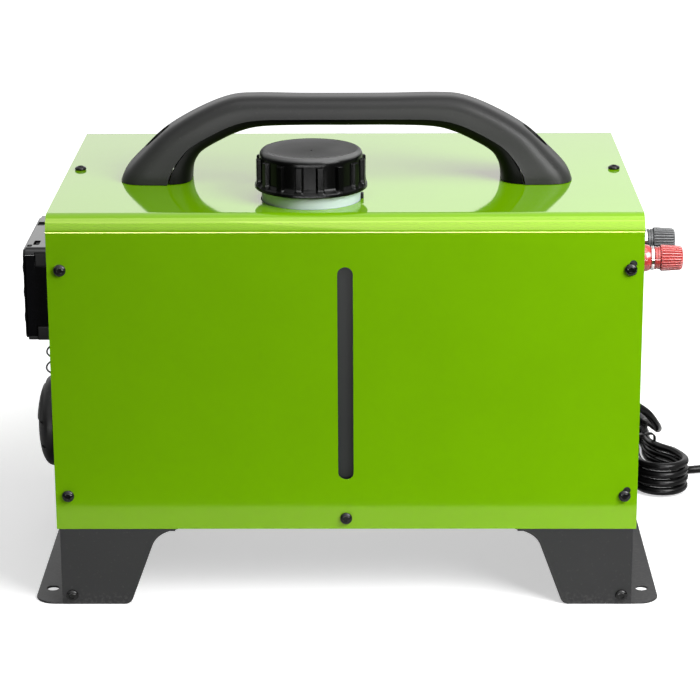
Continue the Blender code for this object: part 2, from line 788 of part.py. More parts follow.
def build_base_pan():
    side = CASE_DEPTH / 2 - RING_INSET
    high = CASE_BOTTOM + BASE_FLANGE_HEIGHT
    section = [
        (-side, CASE_BOTTOM),
        (side, CASE_BOTTOM),
        (side, high),
        (side - BASE_SHEET, high),
        (side - BASE_SHEET, BASE_TOP),
        (-side + BASE_SHEET, BASE_TOP),
        (-side + BASE_SHEET, high),
        (-side, high),
    ]
    pan = add_object("base_pan", flat_mesh([section], 2 * PAN_HALF, "X", (0, 0, 0)), STEEL_BLACK)
    flange_end = SIDE_X - PANEL_SHEET - FLANGE_WIDTH - TOUCH_GAP
    corners = [
        box_mesh(
            (min(s * flange_end, s * SIDE_X), -CASE_DEPTH, BASE_TOP + TOUCH_GAP / 3),
            (max(s * flange_end, s * SIDE_X), CASE_DEPTH, high + PASS),
        )
        for s in (-1, 1)
    ]
    stubs = [
        rod_mesh(
            STUB_RADIUS + HOLE_GAP,
            (x, HEATER_Y, CASE_BOTTOM - PASS),
            (x, HEATER_Y, BASE_TOP + PASS),
        )
        for x in (EXHAUST_X, INTAKE_X)
    ]
    screw = front_rod(0.0, SCREW_MIDDLE_Z, SCREW_SHANK_RADIUS + HOLE_GAP)
    cut(
        pan,
        add_tool("pan_flange_ends", merged_mesh(*corners)),
        add_tool("pan_holes", merged_mesh(screw, *stubs)),
    )


def build_end_panel(name, side, holes):
    """An end panel inside the cover, with its turned-in flange. side is -1 on the left, 1 on the right."""
    skin = case_outline(RING_INSET, 0.0)
    plate = flat_mesh([skin], PANEL_SHEET, "X", (side * (SIDE_X - PANEL_SHEET / 2), 0, 0))
    panel = add_object(name, plate, STEEL_BLACK)
    low = BASE_SHEET + TOUCH_GAP
    flange_depth = FLANGE_WIDTH + PANEL_SHEET / 2
    flange = flat_mesh(
        [case_outline(RING_INSET, low), case_outline(RING_INSET + PANEL_SHEET, low + PANEL_SHEET)],
        flange_depth,
        "X",
        (side * (SIDE_X - PANEL_SHEET / 2 - flange_depth / 2), 0, 0),
    )
    join(panel, add_tool(name + "_flange", flange))
    screws = [
        front_rod(x, z, SCREW_SHANK_RADIUS + HOLE_GAP)
        for _, x, z in front_screw_places()
        if x * side > 0
    ]
    screws.append(top_rod(side * SCREW_SIDE, TOP_SCREW_Y, SCREW_SHANK_RADIUS + HOLE_GAP))
    cut(panel, add_tool(name + "_holes", merged_mesh(*screws, *holes)))


def panel_rod(side, y, z, radius, segments=24):
    low, high = sorted((side * (SIDE_X - PASS), side * (SIDE_X + PASS)))
    return rod_mesh(radius, (low, y, z), (high, y, z), segments)


def build_end_panels():
    build_end_panel(
        "left_end_panel",
        -1,
        [
            panel_rod(-1, VENT_Y, VENT_Z, VENT_TUBE_RADIUS + HOLE_GAP, 30),
            panel_rod(-1, SENSOR_Y, SENSOR_LOW_Z, SENSOR_WIRE_RADIUS + HOLE_GAP, 12),
        ],
    )
    build_end_panel(
        "right_end_panel",
        1,
        [
            panel_rod(1, HEATER_Y, HEATER_Z, GRILLE_HOLE_RADIUS, 30),
            panel_rod(1, RED_POST_Y, POST_Z, POST_STUD_RADIUS * 1.5 + HOLE_GAP, 16),
            panel_rod(1, BLACK_POST_Y, POST_Z, POST_STUD_RADIUS * 1.5 + HOLE_GAP, 16),
            panel_rod(1, CORD_Y, CORD_Z, GROMMET_NECK_RADIUS + HOLE_GAP, 20),
        ],
    )


def screw_mesh(axis, centre):
    """A pan head screw whose head stands on centre and whose shank goes the other way."""
    head = SCREW_HEAD_HEIGHT
    profile = [
        (0, head - SCREW_RECESS_DEPTH),
        (SCREW_RECESS_RADIUS, head - SCREW_RECESS_DEPTH),
        (SCREW_RECESS_RADIUS, head),
        (SCREW_HEAD_RADIUS * 0.72, head),
        (SCREW_HEAD_RADIUS, head * 0.5),
        (SCREW_HEAD_RADIUS, 0),
        (SCREW_SHANK_RADIUS, 0),
        (SCREW_SHANK_RADIUS, -SCREW_SHANK_LENGTH),
        (0, -SCREW_SHANK_LENGTH),
    ]
    return turned_mesh(profile, axis, centre, SCREW_SIDES)


def build_screws():
    for place, x, z in front_screw_places():
        mesh = screw_mesh("-Y", (x, FRONT_Y - TOUCH_GAP, z))
        add_object("front_screw_" + place, mesh, SCREW_BLACK)
    for place, side in (("left", -1), ("right", 1)):
        mesh = screw_mesh("Z", (side * SCREW_SIDE, TOP_SCREW_Y, CASE_TOP + TOUCH_GAP))
        add_object("top_screw_" + place, mesh, SCREW_BLACK)
        mesh = screw_mesh("-Y", (side * (SIDE_X - FOOT_SCREW_INSET), FRONT_Y - TOUCH_GAP, FOOT_SCREW_Z))
        add_object("foot_screw_" + place, mesh, SCREW_BLACK)


# Feet
def gusset_outline(side, top):
    """The front view of a foot's end plate (x, z)."""
    corner = arc(
        (SIDE_X - GUSSET_LOW_INSET, GUSSET_CORNER),
        GUSSET_CORNER,
        270,
        200,
        3,
    )
    (x0, z0), (x1, z1) = ((SIDE_X - inset, z) for inset, z in (GUSSET_SLANT_LOW, GUSSET_SLANT_HIGH))
    lean = (x1 - x0) / (z1 - z0)
    rise = (top - z1) * GUSSET_FLARE
    control = (x1 + lean * rise, z1 + rise)
    flare = []
    for i in range(1, 5):
        t = i / 4
        flare.append(
            tuple(
                (1 - t) ** 2 * a + 2 * t * (1 - t) * b + t * t * c
                for a, b, c in zip((x1, z1), control, (GUSSET_INNER_X, top))
            )
        )
    points = [(FOOT_WEB_X, 0.0)] + corner + [(x1, z1)] + flare + [(FOOT_WEB_X, top)]
    return [(side * x, z) for x, z in points]


def build_foot(name, side):
    top = CASE_BOTTOM - TOUCH_GAP
    half = FOOT_SHEET / 2
    flange_low = FOOT_WEB_X - half
    corner = FOOT_FLANGE_CORNER
    y = CASE_DEPTH / 2
    outline = (
        [(flange_low, -y), (FOOT_REACH - corner, -y)]
        + arc((FOOT_REACH - corner, -y + corner), corner, 270, 360, 5)
        + arc((FOOT_REACH - corner, y - corner), corner, 0, 90, 5)
        + [(flange_low, y)]
    )
    hole_y = y - FOOT_HOLE_INSET
    holes = [circle(FOOT_HOLE_RADIUS, (side * (SIDE_X + FOOT_HOLE_OUT), s * hole_y), 12) for s in (-1, 1)]
    outline = [(side * u, v) for u, v in outline]
    foot = add_object(name, flat_mesh([outline, *holes], FOOT_SHEET, "Z", (0, 0, half)), STEEL_BLACK)

    def sheet(tool_name, low, high):
        low, high = (
            (min(side * low[0], side * high[0]), low[1], low[2]),
            (max(side * low[0], side * high[0]), high[1], high[2]),
        )
        return add_tool(name + tool_name, box_mesh(low, high))

    web = sheet("_web", (FOOT_WEB_X - FOOT_SHEET, -y + half, half / 2), (FOOT_WEB_X, y - half, top - half))
    shelf = sheet(
        "_shelf",
        (GUSSET_INNER_X + SHELF_INSET, -y + half, top - FOOT_SHEET),
        (FOOT_WEB_X - half, y - half, top),
    )
    gussets = [
        add_tool(
            f"{name}_gusset_{place}",
            flat_mesh([gusset_outline(side, top)], FOOT_SHEET, "-Y", (0, s * (y - half), 0)),
        )
        for place, s in (("front", -1), ("rear", 1))
    ]
    join(foot, web, shelf, *gussets)
    screw_x = side * (SIDE_X - FOOT_SCREW_INSET)
    screw = front_rod(screw_x, FOOT_SCREW_Z, SCREW_SHANK_RADIUS + HOLE_GAP)
    cut(foot, add_tool(name + "_screw_hole", screw))


# Handle
def handle_stations():
    """Smooth stations from the left foot of the handle to the right one."""
    right = [(x, CASE_TOP + z, u, CASE_TOP + v, w) for x, z, u, v, w in HANDLE_STATIONS]
    left = [(-x, z, -u, v, w) for x, z, u, v, w in right[:0:-1]]
    keys = np.array(left + right)
    found = []
    for i in range(len(keys) - 1):
        before, start = keys[max(i - 1, 0)], keys[i]
        end, after = keys[i + 1], keys[min(i + 2, len(keys) - 1)]
        for k in range(HANDLE_STATIONS_PER_SPAN):
            t = k / HANDLE_STATIONS_PER_SPAN
            found.append(
                0.5
                * (
                    2 * start
                    + (end - before) * t
                    + (2 * before - 5 * start + 4 * end - after) * t ** 2
                    + (3 * start - before - 3 * end + after) * t ** 3
                )
            )
    found.append(keys[-1])
    return found


def rounded_sign(value):
    return math.copysign(abs(value) ** (2 / HANDLE_ROUNDNESS), value)


def handle_section(station, start, end, inset=0.0, shift=0.0, steps=HANDLE_ARC_POINTS):
    """Part of the grip's round section, from one angle to another, in degrees."""
    outer = Vector((station[0], 0, station[1]))
    inner = Vector((station[2], 0, station[3]))
    middle = (outer + inner) / 2
    rise = (outer - inner) / 2
    up = rise.normalized()
    height = rise.length - inset
    width = station[4] - inset
    found = []
    for i in range(steps + 1):
        angle = math.radians(start + (end - start) * i / steps)
        place = middle + up * (height * rounded_sign(math.sin(angle)) + shift)
        place.y = HANDLE_Y + width * rounded_sign(math.cos(angle))
        found.append(place)
    return found


def build_handle():
    stations = handle_stations()
    gap = HANDLE_SPLIT_GAP / 2
    upper = loft_mesh([handle_section(s, 0, 180, shift=gap) for s in stations])
    lower = loft_mesh([handle_section(s, 180, 360, shift=-gap) for s in stations])
    sections = [
        handle_section(s, 0, 360, inset=HANDLE_WALL, steps=2 * HANDLE_ARC_POINTS)[:-1]
        for s in stations
        if abs(s[2]) < HANDLE_HOLLOW_END
    ]
    for section, step in ((sections[0], HANDLE_WALL / 2), (sections[-1], -HANDLE_WALL / 2)):
        for place in section:
            place.x += step
    hollow = add_tool("handle_hollow", loft_mesh(sections))
    foot_plane = add_tool(
        "handle_foot_plane",
        box_mesh((-CASE_WIDTH, -CASE_DEPTH, CASE_BOTTOM), (CASE_WIDTH, CASE_DEPTH, CASE_TOP + TOUCH_GAP)),
    )
    pockets = [
        rod_mesh(
            BOLT_POCKET_RADIUS,
            (s * BOLT_HALF_SPAN, HANDLE_Y, BOLT_SEAT_Z),
            (s * BOLT_HALF_SPAN, HANDLE_Y, CASE_TOP + HANDLE_CLEAR_RISE),
            20,
        )
        for s in (-1, 1)
    ]
    bores = [
        rod_mesh(
            BOLT_SHANK_RADIUS + HOLE_GAP,
            (s * BOLT_HALF_SPAN, HANDLE_Y, CASE_TOP - PASS),
            (s * BOLT_HALF_SPAN, HANDLE_Y, BOLT_SEAT_Z + PASS),
            16,
        )
        for s in (-1, 1)
    ]
    pocket = add_tool("bolt_pockets", merged_mesh(*pockets))
    bore = add_tool("bolt_bores", merged_mesh(*bores))
    for name, mesh in (("handle_upper_shell", upper), ("handle_lower_shell", lower)):
        cut(add_object(name, mesh, BLACK, smooth_angle=50), hollow, foot_plane, pocket, bore)
    head = BOLT_HEAD_HEIGHT
    profile = [
        (0, head * 0.5),
        (BOLT_HEAD_RADIUS * 0.55, head * 0.5),
        (BOLT_HEAD_RADIUS * 0.55, head),
        (BOLT_HEAD_RADIUS * 0.92, head),
        (BOLT_HEAD_RADIUS, head * 0.9),
        (BOLT_HEAD_RADIUS, 0),
        (BOLT_SHANK_RADIUS, 0),
        (BOLT_SHANK_RADIUS, -BOLT_LENGTH),
        (0, -BOLT_LENGTH),
    ]
    for place, side in (("left", -1), ("right", 1)):
        centre = (side * BOLT_HALF_SPAN, HANDLE_Y, BOLT_SEAT_Z + TOUCH_GAP)
        add_object("handle_bolt_" + place, turned_mesh(profile, "Z", centre, 14), SCREW_BLACK)


# Fuel tank, gasket and cap
def build_tank():
    low = (TANK_LEFT, TANK_FRONT, BASE_TOP + TOUCH_GAP)
    high = (TANK_RIGHT, TANK_BACK, TANK_TOP)
    tank = add_object("fuel_tank", rounded_box_mesh(low, high, TANK_EDGE), NATURAL)
    neck = [
        (0, NECK_TOP_Z),
        (NECK_THREAD_RADIUS, NECK_TOP_Z),
        (NECK_THREAD_RADIUS, NECK_SHOULDER_Z),
        (NECK_RADIUS, NECK_SHOULDER_Z),
        (NECK_RADIUS, TANK_TOP - TANK_WALL / 2),
        (0, TANK_TOP - TANK_WALL / 2),
    ]
    spigot_y = (TANK_FRONT + TANK_BACK) / 2
    spigot_start = (TANK_RIGHT - TANK_WALL / 2, spigot_y, OUTLET_SPIGOT_Z)
    spigot_end = (TANK_RIGHT + OUTLET_SPIGOT_LENGTH, spigot_y, OUTLET_SPIGOT_Z)
    join(
        tank,
        add_tool("tank_neck", turned_mesh(neck, "Z", (NECK_X, NECK_Y, 0), 28)),
        add_tool("tank_spigot", rod_mesh(OUTLET_SPIGOT_RADIUS, spigot_start, spigot_end, 12)),
    )
    inside = rounded_box_mesh(
        [a + TANK_WALL for a in low], [a - TANK_WALL for a in high], TANK_EDGE - TANK_WALL, 1
    )
    bore = rod_mesh(
        NECK_BORE_RADIUS,
        (NECK_X, NECK_Y, TANK_TOP - 2 * TANK_EDGE),
        (NECK_X, NECK_Y, NECK_TOP_Z + PASS),
        28,
    )
    drain = rod_mesh(
        OUTLET_SPIGOT_RADIUS / 2,
        (TANK_RIGHT - 2 * TANK_EDGE, spigot_y, OUTLET_SPIGOT_Z),
        (spigot_end[0] + PASS, spigot_y, OUTLET_SPIGOT_Z),
        8,
    )
    cut(
        tank,
        add_tool("tank_inside", inside),
        add_tool("tank_bores", merged_mesh(bore, drain)),
    )


def build_cap():
    centre = (NECK_X, NECK_Y, 0)
    gasket_low = NECK_TOP_Z + TOUCH_GAP
    gasket_high = gasket_low + GASKET_HEIGHT
    gasket = turned_mesh(
        ring_profile(NECK_BORE_RADIUS, NECK_THREAD_RADIUS, gasket_low, gasket_high), "Z", centre, 24, True
    )
    pivot = (NECK_X, NECK_Y, gasket_low)
    add_object("cap_gasket", gasket, RUBBER, pivot)
    low = NECK_SHOULDER_Z + TOUCH_GAP
    top = low + CAP_HEIGHT
    roof = gasket_high + TOUCH_GAP
    skirt_bore = NECK_THREAD_RADIUS + 2 * HOLE_GAP
    profile = [
        (CAP_VENT_RADIUS, top),
        (CAP_DISC_RADIUS, top),
        (CAP_DISC_RADIUS + (CAP_RADIUS - CAP_DISC_RADIUS) * 0.7, top - CAP_EDGE * 0.3),
        (CAP_RADIUS, top - CAP_EDGE),
        (CAP_RADIUS, low + CAP_FLANGE_HEIGHT),
        (CAP_FLANGE_RADIUS, low + CAP_FLANGE_HEIGHT),
        (CAP_FLANGE_RADIUS, low),
        (skirt_bore, low),
        (skirt_bore, roof),
        (CAP_VENT_RADIUS, roof),
    ]
    cap = add_object("fuel_cap", turned_mesh(profile, "Z", centre, 32, True), BLACK, pivot)
    outline = []
    half = CAP_RIB_WIDTH / CAP_RIB_RADIUS / 2
    crest = half * CAP_RIB_TAPER
    root = CAP_RADIUS - CAP_RIB_ROOT
    for i in range(CAP_RIBS):
        middle = 2 * math.pi * i / CAP_RIBS
        for radius, turn in ((root, -half), (CAP_RIB_RADIUS, -crest), (CAP_RIB_RADIUS, crest), (root, half)):
            outline.append((radius * math.cos(middle + turn), radius * math.sin(middle + turn)))
    rib_low = low + CAP_FLANGE_HEIGHT / 2
    rib_high = top - CAP_EDGE
    bore = circle(skirt_bore + CAP_RIB_ROOT, (0, 0), 24)
    ribs = flat_mesh([outline, bore], rib_high - rib_low, "Z", (NECK_X, NECK_Y, (rib_low + rib_high) / 2))
    join(cap, add_tool("cap_ribs", ribs))


# Burner unit
def heater_section(inset):
    half = HEATER_HALF - inset
    edge = HEATER_EDGE - inset
    reach = half - edge
    points = []
    for corner, (u, v) in enumerate(((1, 1), (-1, 1), (-1, -1), (1, -1))):
        points += arc((u * reach, v * reach), edge, 90 * corner, 90 * corner + 90, 4)
    return points


def build_heater_shell(name, upper):
    length = HEATER_RIGHT - HEATER_LEFT
    middle = (HEATER_LEFT + HEATER_RIGHT) / 2
    centre = (middle, HEATER_Y, HEATER_Z)
    shell = add_object(name, flat_mesh([heater_section(0.0)], length, "X", centre), BLACK)
    collar = rod_mesh(
        HEATER_COLLAR_RADIUS,
        (HEATER_LEFT - HEATER_COLLAR_LENGTH, HEATER_Y, HEATER_Z),
        (HEATER_LEFT + HEATER_WALL / 2, HEATER_Y, HEATER_Z),
        28,
    )
    joined = [add_tool(name + "_collar", collar)]
    if not upper:
        pads = [
            box_mesh(
                (x - HEATER_PAD_HALF, HEATER_Y - HEATER_PAD_HALF, BASE_TOP + TOUCH_GAP),
                (x + HEATER_PAD_HALF, HEATER_Y + HEATER_PAD_HALF, HEATER_LOW + HEATER_WALL / 2),
            )
            for x in (-HEATER_PAD_X - HEATER_PAD_HALF, HEATER_PAD_X)
        ]
        joined.append(add_tool(name + "_pads", merged_mesh(*pads)))
    join(shell, *joined)
    inside = flat_mesh(
        [heater_section(HEATER_WALL)], length, "X", (middle + HEATER_WALL, HEATER_Y, HEATER_Z)
    )
    bore = rod_mesh(
        HEATER_COLLAR_RADIUS - HEATER_WALL,
        (HEATER_LEFT - 2 * HEATER_COLLAR_LENGTH, HEATER_Y, HEATER_Z),
        (HEATER_LEFT + 2 * HEATER_WALL, HEATER_Y, HEATER_Z),
        28,
    )
    split = TOUCH_GAP / 2
    low, high = (-HEATER_HALF * 2, split) if upper else (-split, HEATER_HALF * 2)
    half_box = box_mesh(
        (HEATER_LEFT * 2, HEATER_Y - HEATER_HALF * 2, HEATER_Z + low),
        (HEATER_RIGHT * 2, HEATER_Y + HEATER_HALF * 2, HEATER_Z + high),
    )
    tools = [
        add_tool(name + "_inside", inside),
        add_tool(name + "_bore", bore),
        add_tool(name + "_other_half", half_box),
    ]
    if not upper:
        holes = [
            rod_mesh(STUB_RADIUS + HOLE_GAP, (x, HEATER_Y, CASE_BOTTOM), (x, HEATER_Y, HEATER_LOW + PASS))
            for x in (EXHAUST_X, INTAKE_X)
        ]
        start, end = delivery_inlet()
        holes.append(rod_mesh(LINE_RADIUS + HOLE_GAP, start, start.lerp(end, 1.2), 12))
        tools.append(add_tool(name + "_holes", merged_mesh(*holes)))
    cut(shell, *tools)


def delivery_inlet():
    """The straight run by which the fuel line reaches the rim of the burner's flange."""
    angle = math.radians(-30)
    x = EXCHANGER_RIGHT + TOUCH_GAP + LINE_RADIUS + TOUCH_GAP
    near = BURNER_FLANGE_RADIUS + TOUCH_GAP
    far = HEATER_HALF * 1.2
    return tuple(
        Vector((x, HEATER_Y + reach * math.cos(angle), HEATER_Z + reach * math.sin(angle)))
        for reach in (near, far)
    )


def build_exchanger():
    tip = HEATER_HALF - HEATER_WALL - TOUCH_GAP
    outline = []
    for i in range(EXCHANGER_FINS):
        middle = 2 * math.pi * i / EXCHANGER_FINS
        for radius, side in ((EXCHANGER_CORE_RADIUS, -1), (tip, -1), (tip, 1), (EXCHANGER_CORE_RADIUS, 1)):
            turn = side * EXCHANGER_FIN_THICKNESS / 2 / radius
            outline.append((radius * math.cos(middle + turn), radius * math.sin(middle + turn)))
    length = EXCHANGER_RIGHT - EXCHANGER_LEFT
    centre = ((EXCHANGER_LEFT + EXCHANGER_RIGHT) / 2, HEATER_Y, HEATER_Z)
    exchanger = add_object("heat_exchanger", flat_mesh([outline], length, "X", centre), ALUMINIUM)
    wall = EXCHANGER_CORE_RADIUS - EXCHANGER_BORE_RADIUS
    bore = rod_mesh(
        EXCHANGER_BORE_RADIUS,
        (EXCHANGER_LEFT + wall, HEATER_Y, HEATER_Z),
        (EXCHANGER_RIGHT + wall, HEATER_Y, HEATER_Z),
        32,
    )
    seats = [
        rod_mesh(
            STUB_RADIUS + 2 * HOLE_GAP,
            (x, HEATER_Y, HEATER_LOW - PASS),
            (x, HEATER_Y, HEATER_Z - EXCHANGER_CORE_RADIUS - TOUCH_GAP / 2),
        )
        for x in (EXHAUST_X, INTAKE_X)
    ]
    ports = [
        rod_mesh(
            STUB_BORE_RADIUS * 0.8,
            (x, HEATER_Y, HEATER_Z - EXCHANGER_CORE_RADIUS - PASS),
            (x, HEATER_Y, HEATER_Z - EXCHANGER_BORE_RADIUS + PASS),
            16,
        )
        for x in (EXHAUST_X, INTAKE_X)
    ]
    cut(
        exchanger,
        add_tool("exchanger_bore", bore),
        add_tool("exchanger_seats", merged_mesh(*seats)),
        add_tool("exchanger_ports", merged_mesh(*ports)),
    )


def build_burner():
    low = EXCHANGER_RIGHT + TOUCH_GAP
    high = low + BURNER_FLANGE_THICKNESS
    left = high - BURNER_LENGTH
    inner = BURNER_TUBE_RADIUS - BURNER_TUBE_WALL
    profile = [
        (BURNER_FLANGE_RADIUS, high),
        (BURNER_FLANGE_RADIUS, low),
        (BURNER_TUBE_RADIUS, low),
        (BURNER_TUBE_RADIUS, left),
        (inner, left),
        (inner, low),
        (inner / 2, low),
        (inner / 2, high),
    ]
    add_object("burner_tube", turned_mesh(profile, "X", (0, HEATER_Y, HEATER_Z), 24, True), STEEL)


def build_motor():
    body = rod_mesh(MOTOR_RADIUS, (MOTOR_LEFT, HEATER_Y, HEATER_Z), (MOTOR_RIGHT, HEATER_Y, HEATER_Z), 32)
    motor = add_object("fan_motor", body, STEEL)
    reach = HEATER_HALF - HEATER_WALL - TOUCH_GAP
    low, high = MOTOR_LEFT + MOTOR_WEB / 2, MOTOR_LEFT + MOTOR_WEB * 1.5
    bar = MOTOR_RADIUS / 3
    upright = box_mesh((low, HEATER_Y - bar, HEATER_Z - reach), (high, HEATER_Y + bar, HEATER_Z + reach))
    thinner = MOTOR_WEB / 8
    flat = box_mesh(
        (low + thinner, HEATER_Y - reach, HEATER_Z - bar),
        (high - thinner, HEATER_Y + reach, HEATER_Z + bar),
    )
    join(motor, add_tool("motor_upright", upright), add_tool("motor_crossbar", flat))
    bore = rod_mesh(
        SHAFT_RADIUS + RUN_GAP,
        (MOTOR_LEFT - PASS, HEATER_Y, HEATER_Z),
        (MOTOR_RIGHT + PASS, HEATER_Y, HEATER_Z),
        20,
    )
    cut(motor, add_tool("motor_bore", bore))


def build_fans():
    pivot = (MOTOR_RIGHT, HEATER_Y, HEATER_Z)
    impeller_high = MOTOR_LEFT - SHAFT_OVERHANG / 2
    impeller_low = impeller_high - IMPELLER_LENGTH
    fan_low = MOTOR_RIGHT + SHAFT_OVERHANG / 2
    fan_high = fan_low + FAN_LENGTH
    profile = [
        (0, fan_high),
        (FAN_HUB_RADIUS * 0.7, fan_high),
        (FAN_HUB_RADIUS, fan_high - FAN_LENGTH / 4),
        (FAN_HUB_RADIUS, fan_low),
        (SHAFT_RADIUS, fan_low),
        (SHAFT_RADIUS, impeller_low),
        (0, impeller_low),
    ]
    fan = add_object("warm_air_fan", turned_mesh(profile, "X", (0, HEATER_Y, HEATER_Z), 16), BLACK, pivot)
    blades = []
    for i in range(FAN_BLADES):
        blade = box_mesh(
            (-FAN_LENGTH / 2, -FAN_BLADE_THICKNESS / 2, FAN_HUB_RADIUS * 0.9),
            (FAN_LENGTH / 2, FAN_BLADE_THICKNESS / 2, FAN_RADIUS),
        )
        twist = Matrix.Rotation(math.radians(FAN_PITCH), 4, "Z")
        spin = Matrix.Rotation(2 * math.pi * i / FAN_BLADES, 4, "X")
        place = Matrix.Translation(((fan_low + fan_high) / 2, HEATER_Y, HEATER_Z))
        blade.transform(place @ spin @ twist)
        blades.append(blade)
    join(fan, add_tool("fan_blades", merged_mesh(*blades)))
    plate_low = impeller_high - IMPELLER_LENGTH / 4
    wheel = turned_mesh(
        ring_profile(SHAFT_RADIUS + HOLE_GAP, IMPELLER_RADIUS, plate_low, impeller_high),
        "X",
        (0, HEATER_Y, HEATER_Z),
        20,
        True,
    )
    impeller = add_object("combustion_fan", wheel, BLACK, pivot)
    vanes = []
    for i in range(FAN_BLADES):
        vane = box_mesh(
            (impeller_low, -FAN_BLADE_THICKNESS / 2, IMPELLER_RADIUS * 0.4),
            (impeller_high - IMPELLER_LENGTH / 8, FAN_BLADE_THICKNESS / 2, IMPELLER_RADIUS * 0.97),
        )
        spin = Matrix.Rotation(2 * math.pi * i / FAN_BLADES, 4, "X")
        vane.transform(Matrix.Translation((0, HEATER_Y, HEATER_Z)) @ spin)
        vanes.append(vane)
    join(impeller, add_tool("impeller_vanes", merged_mesh(*vanes)))


def build_board():
    high = HEATER_Z + HEATER_HALF - HEATER_WALL - TOUCH_GAP
    left = MOTOR_LEFT + 2 * MOTOR_WEB
    low = (left, HEATER_Y - BOARD_WIDTH / 2, high - BOARD_THICKNESS)
    mesh = box_mesh(low, (left + BOARD_LENGTH, HEATER_Y + BOARD_WIDTH / 2, high))
    bevel(add_object("control_unit", mesh, BOARD_GREEN), 0.0015, 1)


def build_stub(name, x):
    high = HEATER_Z - EXCHANGER_CORE_RADIUS - TOUCH_GAP
    profile = ring_profile(STUB_BORE_RADIUS, STUB_RADIUS, STUB_LOW_Z, high)
    mesh = turned_mesh(profile, "Z", (x, HEATER_Y, 0), 18, True)
    add_object(name, mesh, STEEL)


def build_duct():
    """The warm air duct from the burner unit's collar to the vent, shifting over between them."""
    start = -(SIDE_X - PANEL_SHEET - VENT_TUBE_TAIL) + TOUCH_GAP
    end = HEATER_LEFT - HEATER_COLLAR_LENGTH - TOUCH_GAP
    outer, inner = [], []
    steps = 4
    for i in range(steps + 1):
        share = i / steps
        ease = share * share * (3 - 2 * share)
        y = VENT_Y + (HEATER_Y - VENT_Y) * ease
        z = VENT_Z + (HEATER_Z - VENT_Z) * ease
        radius = VENT_TUBE_RADIUS + (HEATER_COLLAR_RADIUS - VENT_TUBE_RADIUS) * ease
        x = start + (end - start) * share
        outer.append([(x, y + u, z + v) for u, v in circle(radius, count=20)])
        x += -PASS if i == 0 else PASS if i == steps else 0
        inner.append([(x, y + u, z + v) for u, v in circle(radius - DUCT_WALL, count=20)])
    duct = add_object("warm_air_duct", loft_mesh(outer), RUBBER)
    cut(duct, add_tool("duct_inside", loft_mesh(inner)))


# Pump and fuel lines
def build_pump():
    half = PUMP_LENGTH / 2
    tip = half + PUMP_NIPPLE_LENGTH
    profile = [
        (0, tip),
        (PUMP_NIPPLE_RADIUS, tip),
        (PUMP_NIPPLE_RADIUS, half),
        (PUMP_RADIUS * 0.7, half),
        (PUMP_RADIUS, half - PUMP_NOSE),
        (PUMP_RADIUS, -half + PUMP_TAPER),
        (PUMP_RADIUS * 0.6, -half),
        (PUMP_NIPPLE_RADIUS, -half),
        (PUMP_NIPPLE_RADIUS, -tip),
        (0, -tip),
    ]
    add_object("fuel_pump", turned_mesh(profile, "X", (PUMP_X, PUMP_Y, PUMP_Z), 20), STEEL)
    inner = PUMP_RADIUS + TOUCH_GAP
    outer = inner + CLAMP_WALL
    ring = turned_mesh(
        ring_profile(inner, outer, -CLAMP_WIDTH / 2, CLAMP_WIDTH / 2), "X", (PUMP_X, PUMP_Y, PUMP_Z), 20, True
    )
    clamp = add_object("pump_clamp", ring, RUBBER)
    leg = box_mesh(
        (PUMP_X - CLAMP_WIDTH / 3, PUMP_Y - outer * 0.6, BASE_TOP + TOUCH_GAP),
        (PUMP_X + CLAMP_WIDTH / 3, PUMP_Y + outer * 0.6, PUMP_Z - inner - CLAMP_WALL / 3),
    )
    join(clamp, add_tool("clamp_leg", leg))
    ends = [(PUMP_X + side * CLAMP_WIDTH, PUMP_Y, PUMP_Z) for side in (-1, 1)]
    bore = rod_mesh(inner, *ends, 20)
    cut(clamp, add_tool("clamp_bore", bore))


def build_fuel_lines():
    pump_reach = PUMP_LENGTH / 2 + PUMP_NIPPLE_LENGTH + TOUCH_GAP
    spigot_x = TANK_RIGHT + OUTLET_SPIGOT_LENGTH + TOUCH_GAP
    spigot_y = (TANK_FRONT + TANK_BACK) / 2
    right = PUMP_X + pump_reach
    route = [
        (spigot_x, spigot_y, OUTLET_SPIGOT_Z),
        (spigot_x + LINE_END, spigot_y, OUTLET_SPIGOT_Z),
        (HEATER_RIGHT + LINE_CLEAR, spigot_y + LINE_START, OUTLET_SPIGOT_Z - LINE_DROP),
        (HEATER_RIGHT + LINE_CLEAR + LINE_BOW, HEATER_Y, CASE_BOTTOM + LINE_RISE),
        (HEATER_RIGHT + LINE_CLEAR, HEATER_Y + HEATER_HALF, CASE_BOTTOM + LINE_RISE + LINE_BOW),
        (right + LINE_SWEEP, PUMP_Y - LINE_DROP, PUMP_Z - LINE_DIP),
        (right + LINE_END, PUMP_Y, PUMP_Z),
        (right, PUMP_Y, PUMP_Z),
    ]
    add_object("suction_line", tube_mesh(square_ended(route, SUCTION_STEP), LINE_RADIUS), RUBBER)
    inlet, wall = delivery_inlet()
    left = PUMP_X - pump_reach
    route = [
        inlet,
        inlet.lerp(wall, 0.8),
        wall,
        (left, HEATER_Y + HEATER_HALF + LINE_TURN, PUMP_Z - 2 * LINE_DIP),
        (left - LINE_TURN, PUMP_Y - LINE_BOW, PUMP_Z - LINE_BOW),
        (left - LINE_END, PUMP_Y, PUMP_Z),
        (left, PUMP_Y, PUMP_Z),
    ]
    add_object("delivery_line", tube_mesh(square_ended(route, DELIVERY_STEP), LINE_RADIUS), RUBBER)


# Warm air vent
def vent_x(reach):
    """A place on the vent's axis, measured outwards from the left panel."""
    return -SIDE_X - reach


